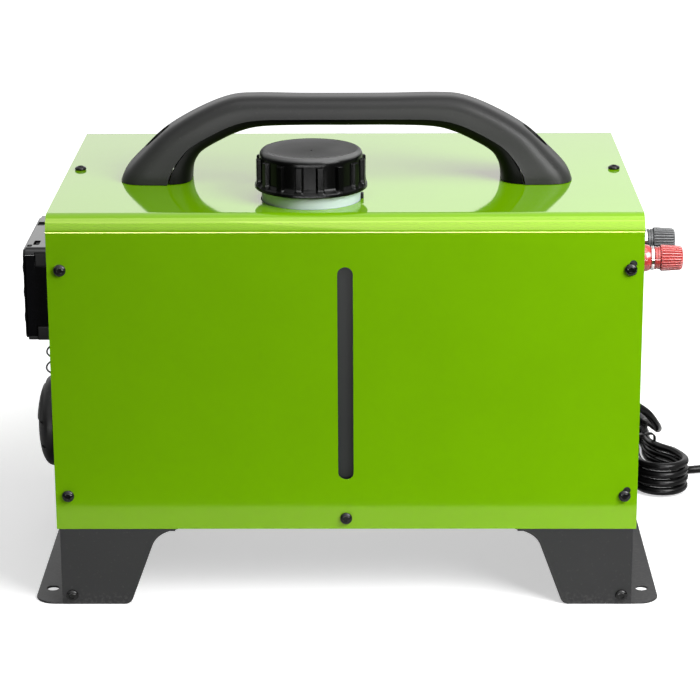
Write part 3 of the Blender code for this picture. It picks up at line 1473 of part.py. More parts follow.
def dome_arc(radius, low, depth, rings):
    """A shallow dome's outer line, from its middle to its rim, as (radius, height)."""
    curve = (radius * radius + depth * depth) / (2 * depth)
    spread = math.asin(radius / curve)
    points = []
    for i in range(rings + 1):
        angle = spread * i / rings
        points.append((curve * math.sin(angle), low + depth - curve * (1 - math.cos(angle))))
    points[0] = (0, low + depth)
    points[-1] = (radius, low)
    return points


def dome_mesh(base):
    """The vent's dome, open at the back. base leads from its outer line to its inner one."""
    outer = dome_arc(HEAD_RADIUS, HEAD_REACH, DOME_DEPTH, DOME_RINGS)
    inside = dome_arc(HEAD_RADIUS - HEAD_WALL, HEAD_REACH, DOME_DEPTH - DOME_THICKNESS, DOME_RINGS)
    profile = outer + base + inside[::-1]
    return turned_mesh(profile, "-X", (-SIDE_X, VENT_Y, VENT_Z), 28)


def upper_region(radius, low, start, end):
    """The part of a disc above a level line, as a solid between two reaches."""
    angle = math.degrees(math.asin(low / radius))
    outline = arc((VENT_Y, VENT_Z), radius, angle, 180 - angle, 14)
    middle = vent_x((start + end) / 2)
    return flat_mesh([outline], end - start, "X", (middle, 0, 0))


def flap_turn(degrees):
    hinge = Vector((vent_x(HEAD_REACH), VENT_Y, VENT_Z + FLAP_HINGE_RISE))
    turn = Matrix.Rotation(math.radians(degrees), 4, "Y")
    return Matrix.Translation(hinge) @ turn @ Matrix.Translation(-hinge)


def build_vent():
    centre = (-SIDE_X, VENT_Y, VENT_Z)
    inner = VENT_TUBE_RADIUS - VENT_TUBE_WALL
    profile = [
        (VENT_TUBE_RADIUS, VENT_TUBE_REACH),
        (VENT_TUBE_RADIUS, TOUCH_GAP + VENT_FLANGE_THICKNESS),
        (VENT_FLANGE_RADIUS - VENT_FLANGE_EDGE, TOUCH_GAP + VENT_FLANGE_THICKNESS),
        (VENT_FLANGE_RADIUS, TOUCH_GAP + VENT_FLANGE_THICKNESS - VENT_FLANGE_EDGE),
        (VENT_FLANGE_RADIUS, TOUCH_GAP),
        (VENT_TUBE_RADIUS, TOUCH_GAP),
        (VENT_TUBE_RADIUS, -PANEL_SHEET - VENT_TUBE_TAIL),
        (inner, -PANEL_SHEET - VENT_TUBE_TAIL),
        (inner, VENT_TUBE_REACH),
    ]
    add_object("vent_bezel", turned_mesh(profile, "-X", centre, 28, True), BLACK)

    head_inner = HEAD_RADIUS - HEAD_WALL
    neck = inner - RUN_GAP
    seat = VENT_TUBE_REACH + TOUCH_GAP
    base = [
        (HEAD_RADIUS, seat),
        (neck, seat),
        (neck, TOUCH_GAP),
        (neck - HEAD_WALL, TOUCH_GAP),
        (neck - HEAD_WALL, seat + HEAD_SEAT),
        (head_inner, seat + HEAD_SEAT),
    ]
    head = add_object("vent_head", dome_mesh(base), BLACK, centre)
    beyond = 2 * HEAD_REACH + DOME_DEPTH
    window_low = FLAP_LOW - FLAP_SIDE_GAP
    window = upper_region(head_inner - RUN_GAP, window_low, HEAD_REACH - DOME_THICKNESS, beyond)
    slots = [
        box_mesh(
            (vent_x(beyond), VENT_Y - span, VENT_Z + z - LOUVRE_GAP / 2),
            (vent_x(HEAD_REACH - PASS / 2), VENT_Y + span, VENT_Z + z + LOUVRE_GAP / 2),
        )
        for z, span in LOUVRES
    ]
    cut(head, add_tool("vent_window", window), add_tool("vent_slots", merged_mesh(*slots)))

    back = HEAD_REACH - DOME_THICKNESS
    shell = dome_mesh([(HEAD_RADIUS, back), (head_inner, back)])
    shell.transform(flap_turn(FLAP_LIFT))
    flap_pivot = (vent_x(HEAD_REACH), VENT_Y, VENT_Z + FLAP_HINGE_RISE)
    flap = add_object("vent_flap", shell, BLACK, flap_pivot)
    keep = upper_region(head_inner - FLAP_SIDE_GAP - RUN_GAP, FLAP_LOW, -HEAD_REACH, beyond)
    keep.transform(flap_turn(FLAP_LIFT))
    boolean(flap, add_tool("flap_outline", keep), "INTERSECT")
    pin_half = math.sqrt(head_inner ** 2 - (FLAP_HINGE_RISE + FLAP_PIN_RADIUS) ** 2) - 2 * RUN_GAP
    pin = rod_mesh(
        FLAP_PIN_RADIUS,
        (flap_pivot[0], VENT_Y - pin_half, flap_pivot[2]),
        (flap_pivot[0], VENT_Y + pin_half, flap_pivot[2]),
        12,
    )
    join(flap, add_tool("flap_pin", pin))


def build_grille():
    centre_x = SIDE_X + TOUCH_GAP + GRILLE_THICKNESS / 2
    centre = (centre_x, HEATER_Y, HEATER_Z)
    rim = flat_mesh(
        [circle(GRILLE_RADIUS, count=30), circle(GRILLE_RADIUS - GRILLE_RIM, count=30)],
        GRILLE_THICKNESS,
        "X",
        centre,
    )
    grille = add_object("intake_grille", rim, BLACK)
    bars = []
    inner = GRILLE_RADIUS - GRILLE_RIM / 2
    step = 2 * (GRILLE_RADIUS - GRILLE_RIM) / (GRILLE_BARS + 1)
    depth = GRILLE_THICKNESS / 2 - GRILLE_BAR_INSET
    for i in range(GRILLE_BARS):
        z = (i - (GRILLE_BARS - 1) / 2) * step
        half = math.sqrt(inner ** 2 - z ** 2)
        bars.append(
            box_mesh(
                (centre_x - depth, HEATER_Y - half, HEATER_Z + z - GRILLE_BAR_WIDTH / 2),
                (centre_x + depth, HEATER_Y + half, HEATER_Z + z + GRILLE_BAR_WIDTH / 2),
            )
        )
    join(grille, add_tool("grille_bars", merged_mesh(*bars)))


# Controller
def controller_box(start, end, margin, drop=0.0, edge=CONTROLLER_EDGE):
    """A box with round corners standing on the left panel, between two reaches."""
    y0, y1 = CONTROLLER_FRONT + margin, CONTROLLER_BACK - margin
    z0, z1 = CONTROLLER_LOW + margin - drop, CONTROLLER_HIGH - margin
    outline = (
        arc((y1 - edge, z1 - edge), edge, 0, 90, 3)
        + arc((y0 + edge, z1 - edge), edge, 90, 180, 3)
        + arc((y0 + edge, z0 + edge), edge, 180, 270, 3)
        + arc((y1 - edge, z0 + edge), edge, 270, 360, 3)
    )
    return flat_mesh([outline], end - start, "X", (vent_x((start + end) / 2), 0, 0))


def button_places():
    top = (CONTROLLER_LOW + CONTROLLER_HIGH) / 2 + BUTTON_STEP
    y = CONTROLLER_FRONT + BUTTON_INSET
    return [(name, y, top - i * BUTTON_STEP) for i, name in enumerate(("up", "power", "down"))]


def build_controller():
    bracket = controller_box(TOUCH_GAP, BRACKET_REACH, BRACKET_MARGIN, BRACKET_DROP + BRACKET_MARGIN)
    add_object("controller_bracket", bracket, BLACK)
    case = add_object(
        "controller_case",
        controller_box(BRACKET_REACH + TOUCH_GAP, CONTROLLER_REACH, 0.0),
        GLOSS_BLACK,
    )
    face_low = CONTROLLER_REACH + TOUCH_GAP
    face = add_object("controller_face", controller_box(face_low, FACE_REACH, FACE_MARGIN), GLOSS_BLACK)
    middle_y = (CONTROLLER_FRONT + CONTROLLER_BACK) / 2 + BUTTON_INSET / 2
    middle_z = (CONTROLLER_LOW + CONTROLLER_HIGH) / 2
    screen = box_mesh(
        (vent_x(FACE_REACH + PASS), middle_y - SCREEN_WIDTH / 2, middle_z - SCREEN_HEIGHT / 2),
        (vent_x(FACE_REACH - SCREEN_DEPTH), middle_y + SCREEN_WIDTH / 2, middle_z + SCREEN_HEIGHT / 2),
    )
    button_high = FACE_REACH + BUTTON_PROUD
    button_low = button_high - BUTTON_LENGTH
    pocket_low = button_low - BUTTON_TRAVEL - TOUCH_GAP
    bore = BUTTON_RADIUS + HOLE_GAP
    holes = []
    pockets = []
    for name, y, z in button_places():
        mouth = (vent_x(FACE_REACH + PASS), y, z)
        holes.append(rod_mesh(bore, mouth, (vent_x(BRACKET_REACH), y, z), 16))
        pockets.append(rod_mesh(bore, mouth, (vent_x(pocket_low), y, z), 16))
        profile = [
            (0, button_high),
            (BUTTON_RADIUS * 0.8, button_high),
            (BUTTON_RADIUS, button_high - BUTTON_PROUD * 0.5),
            (BUTTON_RADIUS, button_low),
            (0, button_low),
        ]
        mesh = turned_mesh(profile, "-X", (-SIDE_X, y, z), 16)
        add_object("button_" + name, mesh, BLACK, (vent_x(button_high), y, z))
    cut(face, add_tool("screen_recess", screen), add_tool("button_holes", merged_mesh(*holes)))
    cut(case, add_tool("button_pockets", merged_mesh(*pockets)))


def build_sensor_lead():
    """A thin lead in open curls from the controller's bracket to its hole in the panel."""
    x = -SIDE_X - SENSOR_AXIS_OUT
    top_x = -SIDE_X - BRACKET_REACH / 2
    bracket_low = CONTROLLER_LOW - BRACKET_DROP
    points = [Vector((top_x, SENSOR_Y, bracket_low - TOUCH_GAP))]
    turns = SENSOR_CURLS + 0.5
    count = round(turns * SENSOR_POINTS)
    start_z = bracket_low - TOUCH_GAP - SENSOR_TOP_RUN
    for i in range(count + 1):
        angle = 2 * math.pi * i / SENSOR_POINTS
        z = start_z + (SENSOR_LOW_Z + SENSOR_END_RUN - start_z) * i / count
        points.append(
            Vector((
                x + SENSOR_CURL_RADIUS * math.cos(angle) * SENSOR_FLATNESS,
                SENSOR_Y + SENSOR_CURL_RADIUS * math.sin(angle),
                z,
            ))
        )
    points.append(Vector((-SIDE_X - SENSOR_END_RUN, SENSOR_Y, SENSOR_LOW_Z)))
    points.append(Vector((-SIDE_X + SENSOR_TAIL, SENSOR_Y, SENSOR_LOW_Z)))
    add_object("sensor_lead", tube_mesh(points, SENSOR_WIRE_RADIUS, 1), WIRE_GREY)


# Binding posts
def build_post(name, y, finish):
    centre = (SIDE_X, y, POST_Z)
    stud_end = POST_REACH - POST_STUD_INSET
    profile = [
        (0, stud_end),
        (POST_STUD_RADIUS, stud_end),
        (POST_STUD_RADIUS, POST_FLANGE_REACH),
        (POST_FLANGE_RADIUS * 0.86, POST_FLANGE_REACH),
        (POST_FLANGE_RADIUS, POST_FLANGE_REACH * 0.45),
        (POST_FLANGE_RADIUS, TOUCH_GAP),
        (POST_STUD_RADIUS * 1.5, TOUCH_GAP),
        (POST_STUD_RADIUS * 1.5, -POST_TAIL),
        (0, -POST_TAIL),
    ]
    add_object(name + "_post", turned_mesh(profile, "X", centre, 22), finish)
    washer_low = POST_FLANGE_REACH + TOUCH_GAP
    washer_high = washer_low + POST_WASHER_THICKNESS
    bore = POST_STUD_RADIUS + RUN_GAP
    pivot = (SIDE_X + washer_low, y, POST_Z)
    profile = ring_profile(bore, POST_WASHER_RADIUS, washer_low, washer_high)
    washer = turned_mesh(profile, "X", centre, 22, True)
    add_object(name + "_washer", washer, CHROME, pivot)
    knob_low = washer_high + TOUCH_GAP
    collar_high = knob_low + POST_COLLAR_LENGTH
    bore_end = knob_low + POST_KNOB_BORE
    profile = [
        (0, POST_REACH),
        (POST_KNOB_TIP_RADIUS - POST_EDGE, POST_REACH),
        (POST_KNOB_TIP_RADIUS, POST_REACH - POST_EDGE),
        (POST_KNOB_RADIUS, collar_high + POST_EDGE),
        (POST_KNOB_RADIUS - POST_EDGE, collar_high),
        (POST_COLLAR_RADIUS, collar_high),
        (POST_COLLAR_RADIUS, knob_low),
        (bore, knob_low),
        (bore, bore_end),
        (0, bore_end),
    ]
    knob = add_object(name + "_knob", turned_mesh(profile, "X", centre, POST_FLUTES), finish, pivot)
    flutes = []
    for i in range(POST_FLUTES):
        angle = 2 * math.pi * (i + 0.5) / POST_FLUTES
        root, tip = (
            (SIDE_X + reach, y + radius * math.cos(angle), POST_Z + radius * math.sin(angle))
            for reach, radius in (
                (collar_high - POST_EDGE, POST_KNOB_RADIUS),
                (POST_REACH + PASS, POST_KNOB_TIP_RADIUS),
            )
        )
        flutes.append(rod_mesh(POST_FLUTE_RADIUS, root, tip, 6))
    cut(knob, add_tool(name + "_flutes", merged_mesh(*flutes)))


# Supply lead
def hank_frame():
    lean = math.radians(HANK_LEAN)
    forward = Vector((-math.sin(lean), math.cos(lean), 0))
    side = Vector((math.cos(lean), math.sin(lean), 0))
    return Vector((*HANK_NEAR, 0)), forward, side


def hank_low_z():
    return CORD_RADIUS + TIE_THICKNESS + TOUCH_GAP + TIE_LIFT


def hank_points():
    """The folded lead: long loops, one on the other, drawn in at the waist."""
    near, forward, side = hank_frame()
    low = hank_low_z()
    points = []

    def add(u, v, z):
        points.append(near + forward * u + side * v + Vector((0, 0, z)))

    def waist(u):
        return HANK_LOBE_RADIUS - (HANK_LOBE_RADIUS - HANK_WAIST) * math.sin(math.pi * u / HANK_LENGTH) ** 2

    add(END_RUN, HANK_LOBE_RADIUS, low)
    for loop in range(HANK_LOOPS):
        z = low + loop * HANK_PITCH
        for i in range(HANK_LOBE_POINTS + 1):
            angle = math.pi * i / HANK_LOBE_POINTS
            add(-HANK_LOBE_RADIUS * math.sin(angle), HANK_LOBE_RADIUS * math.cos(angle), z)
        for i in range(1, HANK_RUN_POINTS):
            u = HANK_LENGTH * i / HANK_RUN_POINTS
            add(u, -waist(u), z)
        for i in range(HANK_LOBE_POINTS + 1):
            angle = math.pi * i / HANK_LOBE_POINTS
            add(HANK_LENGTH + HANK_LOBE_RADIUS * math.sin(angle), -HANK_LOBE_RADIUS * math.cos(angle), z)
        if loop == HANK_LOOPS - 1:
            add(HANK_LENGTH - END_RUN, HANK_LOBE_RADIUS, z)
            break
        for i in range(1, HANK_RUN_POINTS):
            u = HANK_LENGTH * (1 - i / HANK_RUN_POINTS)
            add(u, waist(u), z + HANK_PITCH * (i - 1) / (HANK_RUN_POINTS - 2))
    return points


def least_gap(points, radius, apart):
    """The least clear distance between stretches of a tube that lie further apart than this along it."""
    fine = smooth_route(points, radius)
    places = np.array([tuple(p) for p in fine])
    steps = np.linalg.norm(np.diff(places, axis=0), axis=1)
    along_tube = np.concatenate([[0], np.cumsum(steps)])
    least = 1.0
    for i in range(len(places)):
        far = along_tube > along_tube[i] + apart
        if far.any():
            least = min(least, float(np.linalg.norm(places[far] - places[i], axis=1).min()))
    return least - 2 * radius


def cord_exit_x():
    return SIDE_X + TOUCH_GAP + GROMMET_FLANGE_THICKNESS + GROMMET_REACH


def build_cord():
    flange_high = TOUCH_GAP + GROMMET_FLANGE_THICKNESS
    tip = flange_high + GROMMET_REACH
    profile = [
        (0, tip),
        (GROMMET_TIP_RADIUS, tip),
        (GROMMET_NECK_RADIUS, flange_high),
        (GROMMET_FLANGE_RADIUS, flange_high),
        (GROMMET_FLANGE_RADIUS, TOUCH_GAP),
        (GROMMET_NECK_RADIUS, TOUCH_GAP),
        (GROMMET_NECK_RADIUS, -GROMMET_TAIL),
        (0, -GROMMET_TAIL),
    ]
    add_object("cord_grommet", turned_mesh(profile, "X", (SIDE_X, CORD_Y, CORD_Z), 18), RUBBER)

    hank = hank_points()
    near, forward, side = hank_frame()
    print(
        "hank length %.3f m, least gap to itself %.2f mm"
        % (route_length(hank), 1000 * least_gap(hank, CORD_RADIUS, 8 * CORD_RADIUS))
    )
    add_object("cord_hank", tube_mesh(hank, CORD_RADIUS, 1), SHEATH)

    top = hank[-1] - forward * TOUCH_GAP
    start = Vector((cord_exit_x() + TOUCH_GAP, CORD_Y, CORD_Z))
    drop = [
        start,
        start + Vector((END_RUN, 0, 0)),
        *map(Vector, DROP_PLACES),
        top + forward * -END_RUN,
        top,
    ]
    drop = square_ended(drop, CORD_STEP)
    add_object("cord_drop", tube_mesh(drop, CORD_RADIUS), SHEATH)

    bottom = hank[0] + forward * TOUCH_GAP
    tail = [
        bottom,
        bottom + forward * END_RUN,
        *map(Vector, TAIL_PLACES),
    ]
    end = tail[-1]
    tail = square_ended(tail, CORD_STEP)
    add_object("cord_tail", tube_mesh(tail, CORD_RADIUS), SHEATH)
    print("whole lead %.3f m" % (route_length(drop) + route_length(hank) + route_length(tail)))

    profile = [
        (0, PLUG_LENGTH),
        (PLUG_TIP_RADIUS, PLUG_LENGTH),
        (PLUG_TIP_RADIUS, PLUG_LENGTH - PLUG_TIP_LENGTH),
        (PLUG_NOSE_RADIUS, PLUG_LENGTH - PLUG_TIP_LENGTH - PLUG_SHOULDER),
        (PLUG_NOSE_RADIUS, PLUG_LENGTH * 0.52),
        (PLUG_RADIUS, PLUG_LENGTH * 0.48),
        (PLUG_RADIUS, PLUG_LENGTH * 0.25),
        (PLUG_TAIL_RADIUS, PLUG_TAIL_LENGTH),
        (PLUG_TAIL_RADIUS, 0),
        (0, 0),
    ]
    plug = turned_mesh(profile, "X", end + Vector((TOUCH_GAP, 0, 0)), 20)
    add_object("cord_plug", plug, BLACK)
    build_tie(near, forward, side)


def build_tie(near, forward, side):
    """A flat band round all the runs at the waist."""
    inner_half = HANK_WAIST + CORD_RADIUS + TOUCH_GAP
    low = hank_low_z() - CORD_RADIUS - TOUCH_GAP
    high = hank_low_z() + (HANK_LOOPS - 1) * HANK_PITCH + CORD_RADIUS + TOUCH_GAP
    corner = CORD_RADIUS

    def outline(grow):
        half, bottom, top, edge = inner_half + grow, low - grow, high + grow, corner + grow
        return (
            arc((half - edge, top - edge), edge, 0, 90, 3)
            + arc((-half + edge, top - edge), edge, 90, 180, 3)
            + arc((-half + edge, bottom + edge), edge, 180, 270, 3)
            + arc((half - edge, bottom + edge), edge, 270, 360, 3)
        )

    band = flat_mesh([outline(TIE_THICKNESS), outline(0.0)], TIE_WIDTH, "-Y", (0, 0, 0))
    turn = Matrix.Rotation(math.radians(HANK_LEAN), 4, "Z")
    middle = near + forward * (HANK_LENGTH / 2)
    band.transform(Matrix.Translation(middle) @ turn)
    add_object("cord_tie", band, BLACK)


def build_heater():
    build_cover()
    build_base_pan()
    build_end_panels()
    build_screws()
    build_foot("left_foot", -1)
    build_foot("right_foot", 1)
    build_handle()
    build_tank()
    build_cap()
    build_heater_shell("burner_lower_casing", False)
    build_heater_shell("burner_upper_casing", True)
    build_exchanger()
    build_burner()
    build_motor()
    build_fans()
    build_board()
    build_stub("exhaust_pipe", EXHAUST_X)
    build_stub("combustion_air_pipe", INTAKE_X)
    build_duct()
    build_pump()
    build_fuel_lines()
    build_vent()
    build_grille()
    build_controller()
    build_sensor_lead()
    build_post("red", RED_POST_Y, RED)
    build_post("black", BLACK_POST_Y, GREY)
    build_cord()


build_heater()
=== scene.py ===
"""Portable diesel heater: finished pieces, finishes and studio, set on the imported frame.

Metres, +Z up. The origin is on the ground under the middle of the case, whose front faces -Y.
Each sub-assembly is a class that holds its sizes, builds its pieces and dresses them.
"""
from __future__ import annotations

import logging
import math
from contextlib import contextmanager
from dataclasses import dataclass
from enum import Enum
from typing import Any, Iterator, Sequence

import bmesh
import bpy
from mathutils import Matrix, Vector


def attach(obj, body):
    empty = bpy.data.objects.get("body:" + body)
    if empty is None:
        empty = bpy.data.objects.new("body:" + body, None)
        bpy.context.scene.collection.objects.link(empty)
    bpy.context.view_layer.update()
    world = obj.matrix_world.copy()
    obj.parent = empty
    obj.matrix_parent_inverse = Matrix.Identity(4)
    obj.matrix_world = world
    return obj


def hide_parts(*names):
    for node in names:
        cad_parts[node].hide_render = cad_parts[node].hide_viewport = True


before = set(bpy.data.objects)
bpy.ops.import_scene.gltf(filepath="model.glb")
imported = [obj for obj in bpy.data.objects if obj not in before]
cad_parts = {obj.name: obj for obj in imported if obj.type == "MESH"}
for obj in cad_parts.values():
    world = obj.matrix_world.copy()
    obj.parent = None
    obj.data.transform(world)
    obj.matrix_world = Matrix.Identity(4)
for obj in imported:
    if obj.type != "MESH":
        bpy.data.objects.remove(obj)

LOG = logging.getLogger("diesel_heater")
Place = Sequence[float]
Flat = tuple[float, float]
Piece = bpy.types.Object

# Turns from a shape's own Z axis to the axis that it is made along
AXES = {
    "X": Matrix(((0, 0, 1), (1, 0, 0), (0, 1, 0))),
    "-X": Matrix(((0, 0, -1), (-1, 0, 0), (0, 1, 0))),
    "-Y": Matrix(((1, 0, 0), (0, 0, -1), (0, 1, 0))),
    "Z": Matrix.Identity(3),
}
GAP = 0.0003
# Places closer than this are one place
SAME = 1e-6


# Modelling moves


def clear() -> None:
    """Leave nothing selected."""
    bpy.ops.object.select_all(action="DESELECT")


def hold(piece: Piece) -> Piece:
    """Make one piece the selected and active one."""
    clear()
    piece.select_set(True)
    bpy.context.view_layer.objects.active = piece
    return piece


@contextmanager
def editing(piece: Piece) -> Iterator[bmesh.types.BMesh]:
    """Edit mode on one piece.

    Args:
        piece: the piece that is shaped.
    Returns:
        The edit mesh, for selecting faces and edges by their place.
    """
    hold(piece)
    bpy.ops.object.mode_set(mode="EDIT")
    yield bmesh.from_edit_mesh(piece.data)
    bpy.ops.object.mode_set(mode="OBJECT")


def named(name: str) -> Piece:
    """Name the primitive just added and set its place into its mesh."""
    piece = bpy.context.object
    piece.name = piece.data.name = name
    bpy.ops.object.transform_apply(location=True, rotation=True, scale=True)
    return piece


def block(name: str, low: Place, high: Place) -> Piece:
    """A square block between two corners."""
    clear()
    size = [b - a for a, b in zip(low, high)]
    centre = [(a + b) / 2 for a, b in zip(low, high)]
    bpy.ops.mesh.primitive_cube_add(size=1, location=centre, scale=size)
    return named(name)


def rod(name: str, radius: float, start: Place, end: Place, sides: int = 48) -> Piece:
    """A round bar between two places."""
    clear()
    run = Vector(end) - Vector(start)
    bpy.ops.mesh.primitive_cylinder_add(
        vertices=sides,
        radius=radius,
        depth=run.length,
        location=(Vector(start) + Vector(end)) / 2,
        rotation=Vector((0, 0, 1)).rotation_difference(run).to_euler(),
    )
    return named(name)


def tidy_shell(piece: Piece) -> Piece:
    """Merge a closed shell's doubles and turn all its faces outwards."""
    with editing(piece):
        bpy.ops.mesh.select_all(action="SELECT")
        bpy.ops.mesh.remove_doubles(threshold=SAME)
        bpy.ops.mesh.normals_make_consistent(inside=False)
    return piece


def plate(name: str, outline: Sequence[Flat], low: float, high: float, axis: str) -> Piece:
    """A flat shape from its outline.

    Args:
        name: the piece's name.
        outline: (u, v) places round the shape, in the plane across the axis.
        low: where the shape starts along the axis.
        high: where it ends.
        axis: a key of AXES.
    Returns:
        The piece.
    """
    clear()
    bpy.ops.mesh.primitive_circle_add(vertices=len(outline), radius=1, fill_type="NGON")
    piece = named(name)
    for vertex, (u, v) in zip(piece.data.vertices, outline):
        vertex.co = AXES[axis] @ Vector((u, v, low))
    with editing(piece):
        bpy.ops.mesh.select_all(action="SELECT")
        rise = AXES[axis] @ Vector((0, 0, high - low))
        bpy.ops.mesh.extrude_region_move(TRANSFORM_OT_translate={"value": rise})
    return tidy_shell(piece)


def turned(name: str, profile: Sequence[Flat], axis: str, centre: Place, steps: int = 96) -> Piece:
    """A turned body.

    Args:
        name: the piece's name.
        profile: (radius, reach) places, a closed ring, or from axis to axis.
        axis: the axis that the profile is spun round.
        centre: the place that reach counts from.
        steps: the number of steps round.
    Returns:
        The piece.
    """
    clear()
    bpy.ops.mesh.primitive_circle_add(vertices=len(profile), radius=1, fill_type="NOTHING")
    piece = named(name)
    turn = Matrix.Translation(centre) @ AXES[axis].to_4x4()
    for vertex, (radius, reach) in zip(piece.data.vertices, profile):
        vertex.co = turn @ Vector((radius, 0, reach))
    with editing(piece) as mesh:
        if profile[0][0] == 0 and profile[-1][0] == 0:
            mesh.verts.ensure_lookup_table()
            ends = {mesh.verts[0], mesh.verts[len(profile) - 1]}
            for edge in mesh.edges:
                edge.select_set(set(edge.verts) == ends)
            bpy.ops.mesh.delete(type="EDGE")
        bpy.ops.mesh.select_all(action="SELECT")
        bpy.ops.mesh.spin(steps=steps, angle=2 * math.pi, center=centre, axis=AXES[axis].col[2])
    return tidy_shell(piece)


def lofted(name: str, rings: Sequence[Sequence[Place]]) -> Piece:
    """A closed body through rings of places, one ring after the other, with flat ends."""
    count = len(rings[0])
    clear()
    bpy.ops.mesh.primitive_grid_add(x_subdivisions=count, y_subdivisions=len(rings) - 1, size=1)
    piece = named(name)
    for i, vertex in enumerate(piece.data.vertices):
        vertex.co = rings[i // (count + 1)][i % (count + 1) % count]
    with editing(piece):
        bpy.ops.mesh.select_all(action="SELECT")
        bpy.ops.mesh.remove_doubles(threshold=SAME)
        bpy.ops.mesh.select_all(action="DESELECT")
        bpy.ops.mesh.select_non_manifold()
        bpy.ops.mesh.fill_holes(sides=0)
    return tidy_shell(piece)


def apply_to(piece: Piece, kind: str, **settings: Any) -> Piece:
    """Give a piece one modifier and apply it."""
    hold(piece)
    modifier = piece.modifiers.new(kind.lower(), kind)
    for key, value in settings.items():
        setattr(modifier, key, value)
    bpy.ops.object.modifier_apply(modifier=modifier.name)
    return piece


def cut(piece: Piece, *tools: Piece, operation: str = "DIFFERENCE") -> Piece:
    """Cut a piece with helper shapes, which are used up."""
    for tool in tools:
        apply_to(piece, "BOOLEAN", object=tool, operation=operation, solver="EXACT")
        bpy.data.objects.remove(tool, do_unlink=True)
    return piece


def fuse(piece: Piece, *others: Piece) -> Piece:
    """Make separate shells one piece."""
    hold(piece)
    for other in others:
        other.select_set(True)
    bpy.ops.object.join()
    return piece


def soften(piece: Piece, width: float, segments: int = 3, angle: float = 35) -> Piece:
    """Round a piece's sharp edges."""
    return apply_to(
        piece,
        "BEVEL",
        width=width,
        segments=segments,
        limit_method="ANGLE",
        angle_limit=math.radians(angle),
        use_clamp_overlap=True,
    )


def copied(piece: Piece, name: str, move: Matrix) -> Piece:
    """A copy of a piece with its own mesh, moved."""
    twin = piece.copy()
    twin.data = piece.data.copy()
    twin.name = twin.data.name = name
    twin.data.transform(move)
    bpy.context.scene.collection.objects.link(twin)
    return twin


def arc(centre: Place, radius: float, start: float, end: float, steps: int) -> list[Flat]:
    """Places on an arc, angles in degrees."""
    turns = [math.radians(start + (end - start) * i / steps) for i in range(steps + 1)]
    return [(centre[0] + radius * math.cos(t), centre[1] + radius * math.sin(t)) for t in turns]


def round_box(left: float, right: float, low: float, high: float, edge: float, steps: int = 8) -> list[Flat]:
    """The outline of a box with round corners."""
    near, far, bottom, top = left + edge, right - edge, low + edge, high - edge
    corners = ((far, top), (near, top), (near, bottom), (far, bottom))
    return [p for i, c in enumerate(corners) for p in arc(c, edge, 90 * i, 90 * i + 90, steps)]


def on_curve(before: Any, start: Any, end: Any, after: Any, t: float) -> Any:
    """A value or place at share t between start and end, on the smooth curve through all four."""
    bend = (2 * before - 5 * start + 4 * end - after) * t**2
    twist = (3 * start - before - 3 * end + after) * t**3
    return (2 * start + (end - before) * t + bend + twist) / 2


def smooth_route(points: Sequence[Place], step: float, fineness: int = 24) -> list[Vector]:
    """Places at even steps along the smooth curve through a route's own places."""
    places = [Vector(p) for p in points]
    fine = []
    for i in range(len(places) - 1):
        before, after = places[max(i - 1, 0)], places[min(i + 2, len(places) - 1)]
        for k in range(fineness):
            fine.append(on_curve(before, places[i], places[i + 1], after, k / fineness))
    fine.append(places[-1])
    lengths = [0.0]
    for a, b in zip(fine, fine[1:]):
        lengths.append(lengths[-1] + (b - a).length)
    count = max(2, round(lengths[-1] / step))
    even, j = [], 0
    for i in range(count + 1):
        goal = lengths[-1] * i / count
        while j < len(lengths) - 2 and lengths[j + 1] < goal:
            j += 1
        share = (goal - lengths[j]) / max(lengths[j + 1] - lengths[j], 1e-9)
        even.append(fine[j].lerp(fine[j + 1], min(max(share, 0.0), 1.0)))
    return even


def route_length(points: Sequence[Vector]) -> float:
    """The length of a run of places."""
    return sum((b - a).length for a, b in zip(points, points[1:]))


def tube(name: str, points: Sequence[Place], radius: float, resolution: int = 4) -> Piece:
    """A curve of one open spline with a round section."""
    curve = bpy.data.curves.new(name, "CURVE")
    curve.dimensions = "3D"
    curve.bevel_depth = radius
    curve.bevel_resolution = resolution
    curve.use_fill_caps = True
    spline = curve.splines.new("POLY")
    spline.points.add(len(points) - 1)
    for point, place in zip(spline.points, points):
        point.co = (*place, 1)
    spline.use_smooth = True
    piece = bpy.data.objects.new(name, curve)
    bpy.context.scene.collection.objects.link(piece)
    return piece


# Finishes


class Sock:
    """One output of a node, for use in expressions on numbers."""

    def __init__(self, paint: "Paint", output: bpy.types.NodeSocket) -> None:
        """Keep the paint that the node is in and the output."""
        self.paint = paint
        self.output = output

    def math(self, operation: str, first: Any, second: Any = 0.0) -> "Sock":
        """A Math node on two values."""
        return self.paint.node("ShaderNodeMath", {"operation": operation}, {0: first, 1: second})

    def __add__(self, other: Any) -> "Sock":
        """This plus the other."""
        return self.math("ADD", self, other)

    def __sub__(self, other: Any) -> "Sock":
        """This less the other."""
        return self.math("SUBTRACT", self, other)

    def __rsub__(self, other: Any) -> "Sock":
        """The other less this."""
        return self.math("SUBTRACT", other, self)

    def __mul__(self, other: Any) -> "Sock":
        """This times the other."""
        return self.math("MULTIPLY", self, other)

    __radd__ = __add__
    __rmul__ = __mul__

    def fade(self, start: float, end: float) -> "Sock":
        """A smooth step from 0 to 1 between two values."""
        reach = {"Value": self, "From Min": start, "From Max": end}
        return self.paint.node("ShaderNodeMapRange", {"interpolation_type": "SMOOTHSTEP"}, reach)


